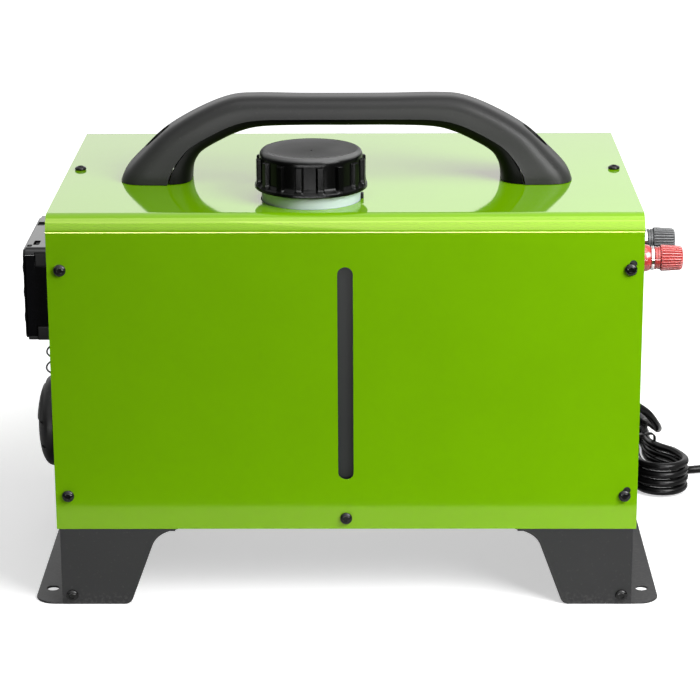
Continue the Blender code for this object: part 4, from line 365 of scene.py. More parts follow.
class Paint:
    """One material and its nodes."""

    def __init__(self, name: str) -> None:
        """Start a material with its Principled shader."""
        self.material = bpy.data.materials.new(name)
        self.material.use_nodes = True
        self.tree = self.material.node_tree
        self.shader = self.tree.nodes["Principled BSDF"]

    def node(
        self, kind: str, settings: dict | None = None, inputs: dict | None = None, output: Any = 0
    ) -> Sock:
        """Add one node.

        Args:
            kind: the node's type.
            settings: its settings, such as a Math node's operation; stops are a ramp's.
            inputs: values or links of its sockets, by name or number.
            output: the output that is used.
        Returns:
            That output.
        """
        made = self.tree.nodes.new(kind)
        for key, value in (settings or {}).items():
            if key == "stops":
                while len(made.color_ramp.elements) < len(value):
                    made.color_ramp.elements.new(0.5)
                for element, (place, colour) in zip(made.color_ramp.elements, value):
                    element.position, element.color = place, (*colour, 1.0)
            else:
                setattr(made, key, value)
        for key, value in (inputs or {}).items():
            self.feed(value, made.inputs[key])
        return Sock(self, made.outputs[output])

    def feed(self, value: Any, socket: bpy.types.NodeSocket | str) -> None:
        """Link or set a socket, of the shader where it is given by name."""
        if isinstance(socket, str):
            socket = self.shader.inputs[socket]
        if isinstance(value, Sock):
            self.tree.links.new(value.output, socket)
        else:
            socket.default_value = value

    def place(self, stretch: Place = (1, 1, 1)) -> Sock:
        """Object coordinates, stretched."""
        spot = self.node("ShaderNodeTexCoord", output="Object")
        return self.node("ShaderNodeMapping", None, {"Vector": spot, "Scale": stretch})

    def noise(self, scale: float, detail: float = 2.0, stretch: Place = (1, 1, 1)) -> Sock:
        """Noise in object space, from 0 to 1."""
        inputs = {"Vector": self.place(stretch), "Scale": scale, "Detail": detail}
        return self.node("ShaderNodeTexNoise", None, inputs, "Fac")

    def height(self) -> Sock:
        """The height over the ground."""
        return self.node("ShaderNodeSeparateXYZ", None, {"Vector": self.place()}, "Z")

    def mix(self, share: Any, first: Any, second: Any) -> Sock:
        """A colour between two colours."""
        first, second = (c if isinstance(c, Sock) else (*c, 1.0) for c in (first, second))
        return self.node("ShaderNodeMix", {"data_type": "RGBA"}, {0: share, 6: first, 7: second}, 2)

    def bump(self, height: Sock, depth: float, under: Sock | None = None) -> Sock:
        """A normal from a height of this depth."""
        inputs = {"Height": height, "Distance": depth, "Strength": 1.0}
        if under:
            inputs["Normal"] = under
        return self.node("ShaderNodeBump", None, inputs)


class Grain(Enum):
    """The fine relief of a surface: waves a metre, depth in metres, and stretch."""

    ENAMEL = (260.0, 0.0000045, (1, 1, 1))
    POWDER = (1500.0, 0.000016, (1, 1, 1))
    MOULDED = (2400.0, 0.000008, (1, 1, 1))
    SPARK = (1300.0, 0.000022, (1, 1, 1))
    CAST = (700.0, 0.000060, (1, 1, 1))
    DRAWN = (3000.0, 0.000004, (0.03, 1, 1))
    RUBBER = (1800.0, 0.000010, (1, 1, 1))
    SMOOTH = (120.0, 0.0000010, (1, 1, 1))


DUST = (0.36, 0.35, 0.33)
WORN = (0.22, 0.21, 0.20)


@dataclass(frozen=True)
class Finish:
    """One surface finish: colour, gloss, grain, how it has aged, and a painted light and shade split by
    height.
    """

    name: str
    slot: str
    colour: tuple[float, float, float]
    roughness: float
    grain: Grain
    metallic: float = 0.0
    specular: float = 0.5
    gloss_tint: tuple[float, float, float] = (1.0, 1.0, 1.0)
    coat: float = 0.0
    cloud: float = 0.06
    uneven: float = 0.05
    dust: float = 0.0
    scuff: float = 0.0
    painted_light_low_colour: tuple[float, float, float] | None = None
    painted_light_height: float = 0.0
    painted_light_blur: float = 0.004

    def shade(self, factor: float) -> tuple[float, float, float]:
        """The colour, darker or lighter."""
        return tuple(min(1.0, c * factor) for c in self.colour)

    def material(self) -> bpy.types.Material:
        """The material, made once."""
        found = bpy.data.materials.get(self.name)
        if found:
            return found
        paint = Paint(self.name)
        cloud = paint.noise(22.0, 3.0)
        speck = paint.noise(420.0, 4.0)
        colour = paint.mix(cloud.fade(0.3, 0.7), self.shade(1 - self.cloud), self.shade(1 + self.cloud))
        roughness = self.roughness + (cloud - 0.5) * self.uneven + (speck - 0.5) * self.uneven
        # Painted light and shade: the colour changes at a set height, so a lit top and a shaded lower part
        # are painted into it
        if self.painted_light_low_colour:
            edge = paint.height() + (cloud - 0.5) * self.painted_light_blur
            above = edge.fade(self.painted_light_height - self.painted_light_blur, self.painted_light_height + self.painted_light_blur)
            colour = paint.mix(above, self.painted_light_low_colour, colour)
        if self.dust:
            mask = speck.fade(0.60, 0.74) * self.dust
            colour = paint.mix(mask, colour, DUST)
            roughness = roughness + mask * 0.35
        if self.scuff:
            mask = (1 - paint.height().fade(0.001, 0.012)) * speck.fade(0.45, 0.62) * self.scuff
            colour = paint.mix(mask, colour, WORN)
            roughness = roughness + mask * 0.3
        waves, depth, stretch = self.grain.value
        normal = paint.bump(paint.noise(waves, 2.5, stretch), depth)
        paint.feed(colour, "Base Color")
        paint.feed(roughness, "Roughness")
        paint.feed(normal, "Normal")
        for socket, value in (
            ("Metallic", self.metallic),
            ("Specular IOR Level", self.specular),
            ("Specular Tint", (*self.gloss_tint, 1.0)),
            ("Coat Weight", self.coat),
            ("Coat Roughness", 0.08),
        ):
            paint.feed(value, socket)
        return paint.material


ENAMEL = Finish(
    "green_enamel", "case_green", (0.184, 0.450, 0.0002), 0.06, Grain.ENAMEL,
    specular=0.90, gloss_tint=(1.0, 0.97, 0.40), cloud=0.015, uneven=0.02,
)
SHEET_BLACK = Finish(
    "black_powder_coat_satin", "black_powder_coat", (0.011, 0.011, 0.012), 0.44, Grain.POWDER,
    specular=0.30, dust=0.03, scuff=0.08,
)
SCREW_BLACK = Finish(
    "blackened_screw_steel", "black_screw_steel", (0.005, 0.005, 0.005), 0.14, Grain.SMOOTH, specular=0.3
)
PLASTIC = Finish(
    "black_moulded_plastic", "black_plastic", (0.008, 0.008, 0.008), 0.40, Grain.SPARK,
    specular=0.25, dust=0.04,
)
GRIP = Finish(
    "black_grip_plastic", "black_plastic", (0.022, 0.022, 0.022), 0.36, Grain.MOULDED,
    specular=0.16, dust=0.02,
)
# Painted shade: the same black grip plastic as the shell, painted darker and duller for the shade on the
# handle's underside
GRIP_PAINTED_SHADE = Finish(
    "black_grip_insert", "black_plastic", (0.003, 0.003, 0.003), 0.42, Grain.MOULDED, specular=0.08
)
DEEP_BLACK = Finish(
    "deep_black_plastic", "black_plastic", (0.003, 0.003, 0.003), 0.34, Grain.MOULDED, specular=0.12
)
# Painted light: the cap's top is painted grey for the bright room it reflects, and its sides below are
# painted near black as shade
CAP_BLACK = Finish(
    "black_cap_plastic", "black_plastic", (0.130, 0.130, 0.130), 0.22, Grain.MOULDED,
    specular=0.12, painted_light_low_colour=(0.002, 0.002, 0.002), painted_light_height=0.3105, painted_light_blur=0.0010,
)
GLOSS = Finish(
    "gloss_black_shell", "gloss_black_plastic", (0.002, 0.002, 0.003), 0.10, Grain.SMOOTH, specular=0.30
)
GLASS = Finish(
    "display_glass", "gloss_black_plastic", (0.004, 0.006, 0.008), 0.04, Grain.SMOOTH, coat=1.0, uneven=0.02
)
# Painted shade: below the cover's top the pale tank wall is painted dark for the shade inside the case; the
# neck ring above stays pale, and the black post's base, also below that height, is dark too
TANK = Finish(
    "natural_tank_wall", "natural_tank_plastic", (0.50, 0.58, 0.60), 0.38, Grain.MOULDED,
    specular=0.25, painted_light_low_colour=(0.018, 0.020, 0.020), painted_light_height=0.266,
)
RUBBER = Finish("black_soft_rubber", "black_rubber", (0.020, 0.020, 0.021), 0.62, Grain.RUBBER)
ALUMINIUM = Finish(
    "cast_aluminium_raw", "cast_aluminium", (0.60, 0.60, 0.61), 0.42, Grain.CAST, metallic=1.0
)
STEEL = Finish("drawn_steel", "bright_steel", (0.58, 0.57, 0.56), 0.26, Grain.DRAWN, metallic=1.0)
CHROME = Finish(
    "chrome_bright", "chrome_plate", (0.86, 0.86, 0.87), 0.07, Grain.SMOOTH, metallic=1.0, uneven=0.02
)
BOARD = Finish("control_unit_case", "board_housing", (0.045, 0.047, 0.052), 0.50, Grain.MOULDED)
RED = Finish("red_clear_plastic", "red_plastic", (0.50, 0.050, 0.045), 0.20, Grain.SMOOTH, coat=0.6)
GREY = Finish("dark_grey_plastic", "grey_plastic", (0.090, 0.092, 0.095), 0.30, Grain.MOULDED)
WIRE = Finish("grey_thin_wire", "grey_wire", (0.45, 0.45, 0.46), 0.45, Grain.SMOOTH)
SHEATH = Finish(
    "black_cord_sheath", "cord_sheath", (0.003, 0.003, 0.003), 0.24, Grain.RUBBER, specular=0.16
)
MAIN_FINISHES = (
    ENAMEL, SHEET_BLACK, SCREW_BLACK, PLASTIC, GLOSS, TANK, RUBBER, ALUMINIUM,
    STEEL, CHROME, BOARD, RED, GREY, WIRE, SHEATH,
)
FINISH_OF_SLOT = {finish.slot: finish for finish in MAIN_FINISHES}


def dress(
    piece: Piece, finish: Finish, body: str = "chassis", nodes: Sequence[str] = (), angle: float = 32
) -> Piece:
    """Finish a piece and set it on its body.

    Args:
        piece: the piece.
        finish: its finish.
        body: the body that it rides on.
        nodes: the CAD nodes that it stands for.
        angle: edges sharper than this, in degrees, stay sharp.
    Returns:
        The piece.
    """
    if piece.type == "MESH":
        hold(piece)
        bpy.ops.object.shade_smooth_by_angle(angle=math.radians(angle))
        apply_to(piece, "WEIGHTED_NORMAL", mode="FACE_AREA", weight=60, keep_sharp=True)
    piece.data.materials.clear()
    piece.data.materials.append(finish.material())
    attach(piece, body)
    if nodes:
        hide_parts(*nodes)
    LOG.info("%s on %s, %s", piece.name, body, finish.name)
    return piece


# The heater


@dataclass(frozen=True)
class Case:
    """The case's own sizes, from which the others take their places."""

    half_width: float = 0.200
    half_depth: float = 0.136
    bottom: float = 0.056
    top: float = 0.278
    bend: float = 0.012
    cover_sheet: float = 0.0012
    panel_sheet: float = 0.0015

    def outline(self, inset: float, low_inset: float, steps: int = 14) -> list[Flat]:
        """The end view (y, z), moved inwards, with its two upper bends."""
        side, bend = self.half_depth - inset, self.bend - inset
        low, top = self.bottom + low_inset, self.top - inset
        return (
            [(-side, low), (side, low)]
            + arc((side - bend, top - bend), bend, 0, 90, steps)
            + arc((-side + bend, top - bend), bend, 90, 180, steps)
        )


CASE = Case()
LEFT, RIGHT = -CASE.half_width, CASE.half_width
SCREW_X = 0.1912
FRONT_SCREWS = {
    "upper_left": (-SCREW_X, 0.2412),
    "upper_right": (SCREW_X, 0.2412),
    "lower_left": (-SCREW_X, 0.0803),
    "lower_right": (SCREW_X, 0.0803),
    "lower_middle": (0.0, 0.0640),
}
TOP_SCREW_Y = 0.0035
NECK = (-0.0235, -0.083)


@dataclass
class Cover:
    """The green sheet over front, top and back, with its sight slot and holes."""

    slot_width: float = 0.0106
    slot_low: float = 0.092
    slot_high: float = 0.243
    neck_hole: float = 0.03455
    screw_hole: float = 0.0024
    wide_hole: float = 0.0026
    wide_hole_rise: float = 0.0037
    wide_hole_shift: float = 0.0016
    reach: float = 0.004

    def through_front(self, x: float, z: float, radius: float) -> Piece:
        """A round cutter through the front sheet."""
        y = -CASE.half_depth
        return rod("cutter", radius, (x, y - self.reach, z), (x, y + self.reach, z), 40)

    def through_top(self, x: float, y: float, radius: float, sides: int = 40) -> Piece:
        """A round cutter through the top sheet."""
        return rod("cutter", radius, (x, y, CASE.top - self.reach), (x, y, CASE.top + self.reach), sides)

    def build(self) -> None:
        """Bend the sheet, open its holes and dress it."""
        half = CASE.half_width
        front = -CASE.half_depth
        outer = CASE.outline(0.0, 0.0)[1:] + [(front, CASE.bottom)]
        inner = CASE.outline(CASE.cover_sheet, 0.0)[1:] + [(front + CASE.cover_sheet, CASE.bottom)]
        cover = plate("case_cover", outer + inner[::-1], -half, half, "X")
        r = self.slot_width / 2
        slot = arc((0, self.slot_high - r), r, 0, 180, 24) + arc((0, self.slot_low + r), r, 180, 360, 24)
        y = CASE.half_depth
        cut(cover, plate("cutter", slot, y - self.reach, y + self.reach, "-Y"))
        cut(cover, self.through_top(*NECK, self.neck_hole, 96))
        for x, z in FRONT_SCREWS.values():
            cut(cover, self.through_front(x, z, self.screw_hole))
        for z in (FRONT_SCREWS["upper_right"][1], FRONT_SCREWS["lower_right"][1]):
            hole_x = SCREW_X + self.wide_hole_shift
            cut(cover, self.through_front(hole_x, z + self.wide_hole_rise, self.wide_hole))
        for side in (-1, 1):
            cut(cover, self.through_top(side * SCREW_X, TOP_SCREW_Y, self.screw_hole))
        soften(cover, 0.00035, 2, 40)
        dress(cover, ENAMEL, nodes=["cover"], angle=30)


@dataclass
class EndPanels:
    """The two black end panels, each a plate with a turned-in flange."""

    flange: float = 0.016
    vent: tuple[float, float, float] = (-0.006, 0.092, 0.0319)
    grille: tuple[float, float, float] = (0.016, 0.112, 0.0400)
    gland: tuple[float, float, float] = (0.096, 0.070, 0.0064)

    def build(self) -> None:
        """Make both panels."""
        ring = CASE.cover_sheet + GAP
        low = CASE.cover_sheet + GAP
        for side, name, holes in (
            (-1, "left_end_panel", (self.vent,)),
            (1, "right_end_panel", (self.grille, self.gland)),
        ):
            face = side * CASE.half_width
            back = face - side * CASE.panel_sheet
            skin = plate(name + "_sheet", CASE.outline(ring, 0.0), *sorted((face, back)), "X")
            for y, z, radius in holes:
                cut(skin, rod("cutter", radius, (face - 0.01, y, z), (face + 0.01, y, z), 72))
            soften(skin, 0.0005, 3, 40)
            end = back - side * self.flange
            lip = plate("lip", CASE.outline(ring, low), *sorted((back + side * GAP, end)), "X")
            hollow = CASE.outline(ring + CASE.panel_sheet, low + CASE.panel_sheet)
            cut(lip, plate("cutter", hollow, *sorted((back + side * 0.01, end - side * 0.01)), "X"))
            dress(fuse(skin, lip), SHEET_BLACK, nodes=[name], angle=30)


@dataclass
class Screws:
    """The pan head screws of the case and the feet: one modelled, the others copied."""

    head_radius: float = 0.00415
    head_height: float = 0.0026
    recess: float = 0.0021
    recess_depth: float = 0.0014
    shank: float = 0.002
    shank_length: float = 0.0048
    foot_x: float = 0.1910
    foot_z: float = 0.0068

    def build(self) -> None:
        """Make one screw along -Y at the origin and copy it to each place."""
        h, r = self.head_height, self.head_radius
        dome = []
        for i in range(1, 12):
            turn = math.radians(8 * i)
            dome.append((r * math.sin(turn), h * 0.30 + h * 0.70 * math.cos(turn)))
        shank = [(self.shank, 0), (self.shank, -self.shank_length), (0, -self.shank_length)]
        profile = [(0, h)] + dome + [(r, h * 0.12), (r * 0.97, 0)] + shank
        head = turned("screw", profile, "-Y", (0, 0, 0), 48)
        y = -(h - self.recess_depth)
        cut(head, rod("cutter", self.recess, (0, y, 0), (0, -2 * h, 0), 6))
        soften(head, 0.00012, 2, 45)
        front = -CASE.half_depth - GAP
        for place, (x, z) in FRONT_SCREWS.items():
            self.set_one(head, "front_screw_" + place, Matrix.Translation((x, front, z)))
        up = Matrix.Rotation(math.radians(-90), 4, "X")
        for place, side in (("left", -1), ("right", 1)):
            x = side * self.foot_x
            self.set_one(head, "foot_screw_" + place, Matrix.Translation((x, front, self.foot_z)))
            top = Matrix.Translation((side * SCREW_X, TOP_SCREW_Y, CASE.top + GAP)) @ up
            self.set_one(head, "top_screw_" + place, top)
        bpy.data.objects.remove(head)

    def set_one(self, head: Piece, node: str, move: Matrix) -> None:
        """Copy the screw to one place."""
        turn = Matrix.Rotation(0.7 + 3.1 * len(node), 4, "Y")
        dress(copied(head, node + "_head", move @ turn), SCREW_BLACK, nodes=[node], angle=40)


@dataclass
class Feet:
    """The two bent feet: ground flange, upright web, shelf and two flared end plates."""

    sheet: float = 0.0015
    reach: float = 0.2177
    web: float = 0.1980
    corner: float = 0.014
    hole_x: float = 0.2077
    hole_y: float = 0.110
    hole_radius: float = 0.0041
    fold: float = 0.0022
    low_slope: Flat = (0.1496, 0.0040)
    high_slope: Flat = (0.1341, 0.0440)
    flare_end: float = 0.1162
    flare_steps: int = 12
    toe_x: float = 0.1545
    toe: float = 0.006
    shelf_end: float = 0.1182
    web_low: float = 0.0008
    web_short: float = 0.0004
    screw_x: float = 0.1910
    screw_z: float = 0.0068
    screw_hole: float = 0.0024

    def end_plate(self, side: int, top: float) -> list[Flat]:
        """The front view of an end plate (x, z)."""
        (x0, z0), (x1, z1) = self.low_slope, self.high_slope
        rise = (top - z1) * 0.8
        control = (x1 + (x1 - x0) / (z1 - z0) * rise, z1 + rise)
        end = (self.flare_end, top)
        flare = []
        for i in range(1, self.flare_steps + 1):
            t = i / self.flare_steps
            places = zip(self.high_slope, control, end)
            flare.append(tuple((1 - t) ** 2 * a + 2 * t * (1 - t) * b + t * t * c for a, b, c in places))
        toe = arc((self.toe_x, self.toe), self.toe, 270, 200, 8)
        outline = [(self.web, 0.0)] + toe + [self.high_slope] + flare + [(self.web, top)]
        return [(side * x, z) for x, z in outline]

    def flange(self, name: str, side: int) -> Piece:
        """The ground flange with its round tips and two holes."""
        y = CASE.half_depth
        inner, tip = self.web - self.sheet / 2, self.reach - self.corner
        outline = [(inner, -y)] + arc((tip, -y + self.corner), self.corner, 270, 360, 12)
        outline += arc((tip, y - self.corner), self.corner, 0, 90, 12) + [(inner, y)]
        flange = plate(name, [(side * u, v) for u, v in outline], 0.0, self.sheet, "Z")
        for s in (-1, 1):
            hole = (side * self.hole_x, s * self.hole_y)
            cut(flange, rod("cutter", self.hole_radius, (*hole, -0.01), (*hole, 0.01), 40))
        return soften(flange, 0.0005, 3, 40)

    def folded_web(self, side: int, top: float) -> Piece:
        """The upright web and the shelf, one folded sheet."""
        y, f = CASE.half_depth, self.fold
        back = self.web - self.sheet
        section = [(self.web, self.web_low)] + arc((self.web - f, top - f), f, 0, 90, 8)
        section += [(self.shelf_end, top), (self.shelf_end, top - self.sheet)]
        section += arc((back - f + self.sheet, top - f), f - self.sheet, 90, 0, 8) + [(back, self.web_low)]
        outline = [(side * u, v) for u, v in section]
        return plate("web", outline, -y + self.web_short, y - self.web_short, "-Y")

    def build(self) -> None:
        """Make both feet."""
        top, y = CASE.bottom - GAP, CASE.half_depth
        for side, name in ((-1, "left_foot"), (1, "right_foot")):
            flange, web = self.flange(name + "_sheet", side), self.folded_web(side, top)
            ends = []
            for s in (-1, 1):
                near = s * y
                low, high = sorted((-near, -near + s * self.sheet))
                end = plate("end", self.end_plate(side, top), low, high, "-Y")
                if s < 0:
                    x, z = side * self.screw_x, self.screw_z
                    cut(end, rod("cutter", self.screw_hole, (x, -y - 0.01, z), (x, -y + 0.01, z), 32))
                ends.append(soften(end, 0.0005, 3, 40))
            dress(fuse(flange, web, *ends), SHEET_BLACK, nodes=[name], angle=30)


@dataclass
class Handle:
    """The carrying handle: an upper shell with a lip, a lower insert, and a deep pocket at each bolt."""

    y: float = -0.021
    bolt_x: float = 0.133
    pocket: float = 0.0085
    seat: float = 0.287
    roundness: float = 3.3
    seam: float = 8.0
    lip: float = 0.0009
    seam_gap: float = 4.0
    insert: float = 0.0014
    clear: float = 0.345
    spans: int = 6
    stations: tuple[tuple[float, ...], ...] = (
        # outer x, outer z, inner x, inner z, half width
        (0.000, 0.3374, 0.000, 0.3154, 0.0160),
        (0.032, 0.3375, 0.032, 0.3154, 0.0160),
        (0.063, 0.3380, 0.060, 0.3144, 0.0162),
        (0.082, 0.3363, 0.075, 0.3108, 0.0168),
        (0.104, 0.3276, 0.089, 0.3044, 0.0180),
        (0.127, 0.3140, 0.100, 0.2980, 0.0202),
        (0.143, 0.2992, 0.105, 0.2912, 0.0228),
        (0.1555, 0.2858, 0.107, 0.2835, 0.0250),
        (0.1600, 0.2750, 0.1075, 0.2745, 0.0262),
    )

    def sections(self) -> list[list[float]]:
        """Smooth stations from the left foot to the right one."""
        left = [(-x, z, -u, v, w) for x, z, u, v, w in self.stations[:0:-1]]
        keys = [list(k) for k in left] + [list(k) for k in self.stations]
        found = []
        for i in range(len(keys) - 1):
            four = keys[max(i - 1, 0)], keys[i], keys[i + 1], keys[min(i + 2, len(keys) - 1)]
            for k in range(self.spans):
                found.append([on_curve(*values, k / self.spans) for values in zip(*four)])
        return found + [keys[-1]]

    def ring(
        self, station: Sequence[float], start: float, end: float, inset: float, lip: float, steps: int
    ) -> list[Vector]:
        """Part of the round section at one station, with a lip at both of its ends.

        Args:
            station: outer x and z, inner x and z, and half width.
            start: the angle that the part starts at, in degrees.
            end: the angle that it ends at.
            inset: how far the part lies inside the full section.
            lip: how far its ends stand out.
            steps: the number of steps round.
        Returns:
            The places of the part.
        """
        outer, inner = Vector((station[0], 0, station[1])), Vector((station[2], 0, station[3]))
        middle, rise = (outer + inner) / 2, (outer - inner) / 2
        up, found = rise.normalized(), []
        for i in range(steps + 1):
            share = i / steps
            angle = math.radians(start + (end - start) * share)
            grow = lip * max(0.0, 1 - min(share, 1 - share) * steps / 1.5) - inset
            c, s = math.cos(angle), math.sin(angle)
            flat = 2 / self.roundness
            place = middle + up * (rise.length + grow) * math.copysign(abs(s) ** flat, s)
            place.y = self.y + (station[4] + grow) * math.copysign(abs(c) ** flat, c)
            found.append(place)
        return found

    def shell(self, name: str, start: float, end: float, inset: float, lip: float, steps: int) -> Piece:
        """Loft one shell, level its feet on the case and open the bolt pockets."""
        shell = lofted(name, [self.ring(s, start, end, inset, lip, steps) for s in self.sections()])
        floor = block("cutter", (-0.25, -0.20, CASE.bottom), (0.25, 0.20, CASE.top + GAP))
        pockets = []
        for x in (-self.bolt_x, self.bolt_x):
            pockets.append(rod("cutter", self.pocket, (x, self.y, self.seat), (x, self.y, self.clear), 64))
        cut(shell, floor, *pockets)
        return soften(shell, 0.0003, 2, 50)

    def build(self) -> None:
        """Make the upper shell and the insert below it."""
        seam, low_seam = self.seam, self.seam + self.seam_gap
        upper = self.shell("handle_top_shell", -seam, 180 + seam, 0.0, self.lip, 40)
        dress(upper, GRIP, nodes=["handle_upper_shell"], angle=42)
        # The lower insert takes the darker grip finish: painted shade under the handle
        lower = self.shell("handle_lower_insert", 180 + low_seam, 360 - low_seam, self.insert, 0.0, 16)
        dress(lower, GRIP_PAINTED_SHADE, nodes=["handle_lower_shell"], angle=42)


@dataclass
class FuelNeck:
    """The tank's neck ring over the cover, and the small tab beside it."""

    radius: float = 0.0339
    bore: float = 0.0312
    low: float = 0.2772
    high: float = 0.2860
    tab_x: float = 0.0102
    tab: tuple[float, float, float] = (0.0022, 0.0030, 0.0036)

    def build(self) -> None:
        """Turn the ring and set the tab."""
        r, low, high = self.radius, self.low, self.high
        rim = [(r - 0.0004, high - 0.0004), (r - 0.0016, high)]
        profile = [(self.bore, low), (r, low), (r, high - 0.0014), *rim, (self.bore, high)]
        dress(turned("tank_neck_ring", profile, "Z", (*NECK, 0), 128), TANK, angle=40)
        x, y, z = self.tab_x, NECK[1], CASE.top
        wide, deep, tall = self.tab
        tab = block("neck_tab", (x, y - deep, z), (x + wide, y + deep, z + tall))
        dress(soften(tab, 0.0006, 3), PLASTIC)


@dataclass
class FuelCap:
    """The screw cap: dished disc with a vent hole, rounded shoulder, ribbed side and flange."""

    radius: float = 0.0352
    rib_radius: float = 0.0377
    flange: float = 0.0385
    low: float = 0.2863
    height: float = 0.0263
    ribs: int = 16
    around: int = 24
    rib_half: float = 0.155
    rib_wall: float = 0.035
    bore: float = 0.0320
    bore_depth: float = 0.0212
    vent_hole: float = 0.0011

    def ring(self, radius: float, z: float, relief: float) -> list[Place]:
        """A ring whose ribs stand out by their full height times relief."""
        found = []
        for i in range(self.ribs * self.around):
            share = (i % self.around) / self.around
            crest = min(1.0, max(0.0, (self.rib_half + self.rib_wall - abs(share - 0.5)) / self.rib_wall))
            r = radius + relief * crest * (self.rib_radius - self.radius)
            turn = 2 * math.pi * i / (self.ribs * self.around)
            found.append((NECK[0] + r * math.cos(turn), NECK[1] + r * math.sin(turn), self.low + z))
        return found

    def build(self) -> None:
        """Loft the outside, bore it from below, and pierce the vent."""
        h, r, f = self.height, self.radius, self.flange
        rows = [
            (0.0305, 0.0010, 0.0),
            (f - 0.0004, 0.0, 0.0),
            (f, 0.0004, 0.0),
            (f, 0.0020, 0.0),
            (f - 0.0003, 0.0026, 0.0),
            (f - 0.0011, 0.0032, 0.3),
            (r + 0.0012, 0.0038, 0.6),
            (r + 0.0004, 0.0048, 0.9),
            (r, 0.0062, 1.0),
            (r, h - 0.0064, 1.0),
            (r, h - 0.0060, 0.9),
            (r, h - 0.0056, 0.0),
            (r, h - 0.0040, 0.0),
            (r - 0.0003, h - 0.0026, 0.0),
            (r - 0.0010, h - 0.0013, 0.0),
            (r - 0.0020, h - 0.0004, 0.0),
            (r - 0.0031, h, 0.0),
            (r - 0.0042, h - 0.0002, 0.0),
            (r - 0.0060, h - 0.0008, 0.0),
            (r - 0.0110, h - 0.0013, 0.0),
            (0.0100, h - 0.0015, 0.0),
            (0.0030, h - 0.0016, 0.0),
        ]
        cap = lofted("fuel_cap_body", [self.ring(*row) for row in rows])
        bore = (*NECK, self.low - 0.005), (*NECK, self.low + self.bore_depth)
        cut(cap, rod("cutter", self.bore, *bore, 96))
        cut(cap, rod("cutter", self.vent_hole, (*NECK, self.low), (*NECK, self.low + 2 * h), 24))
        dress(cap, CAP_BLACK, "fuel_cap", ["fuel_cap"], angle=38)


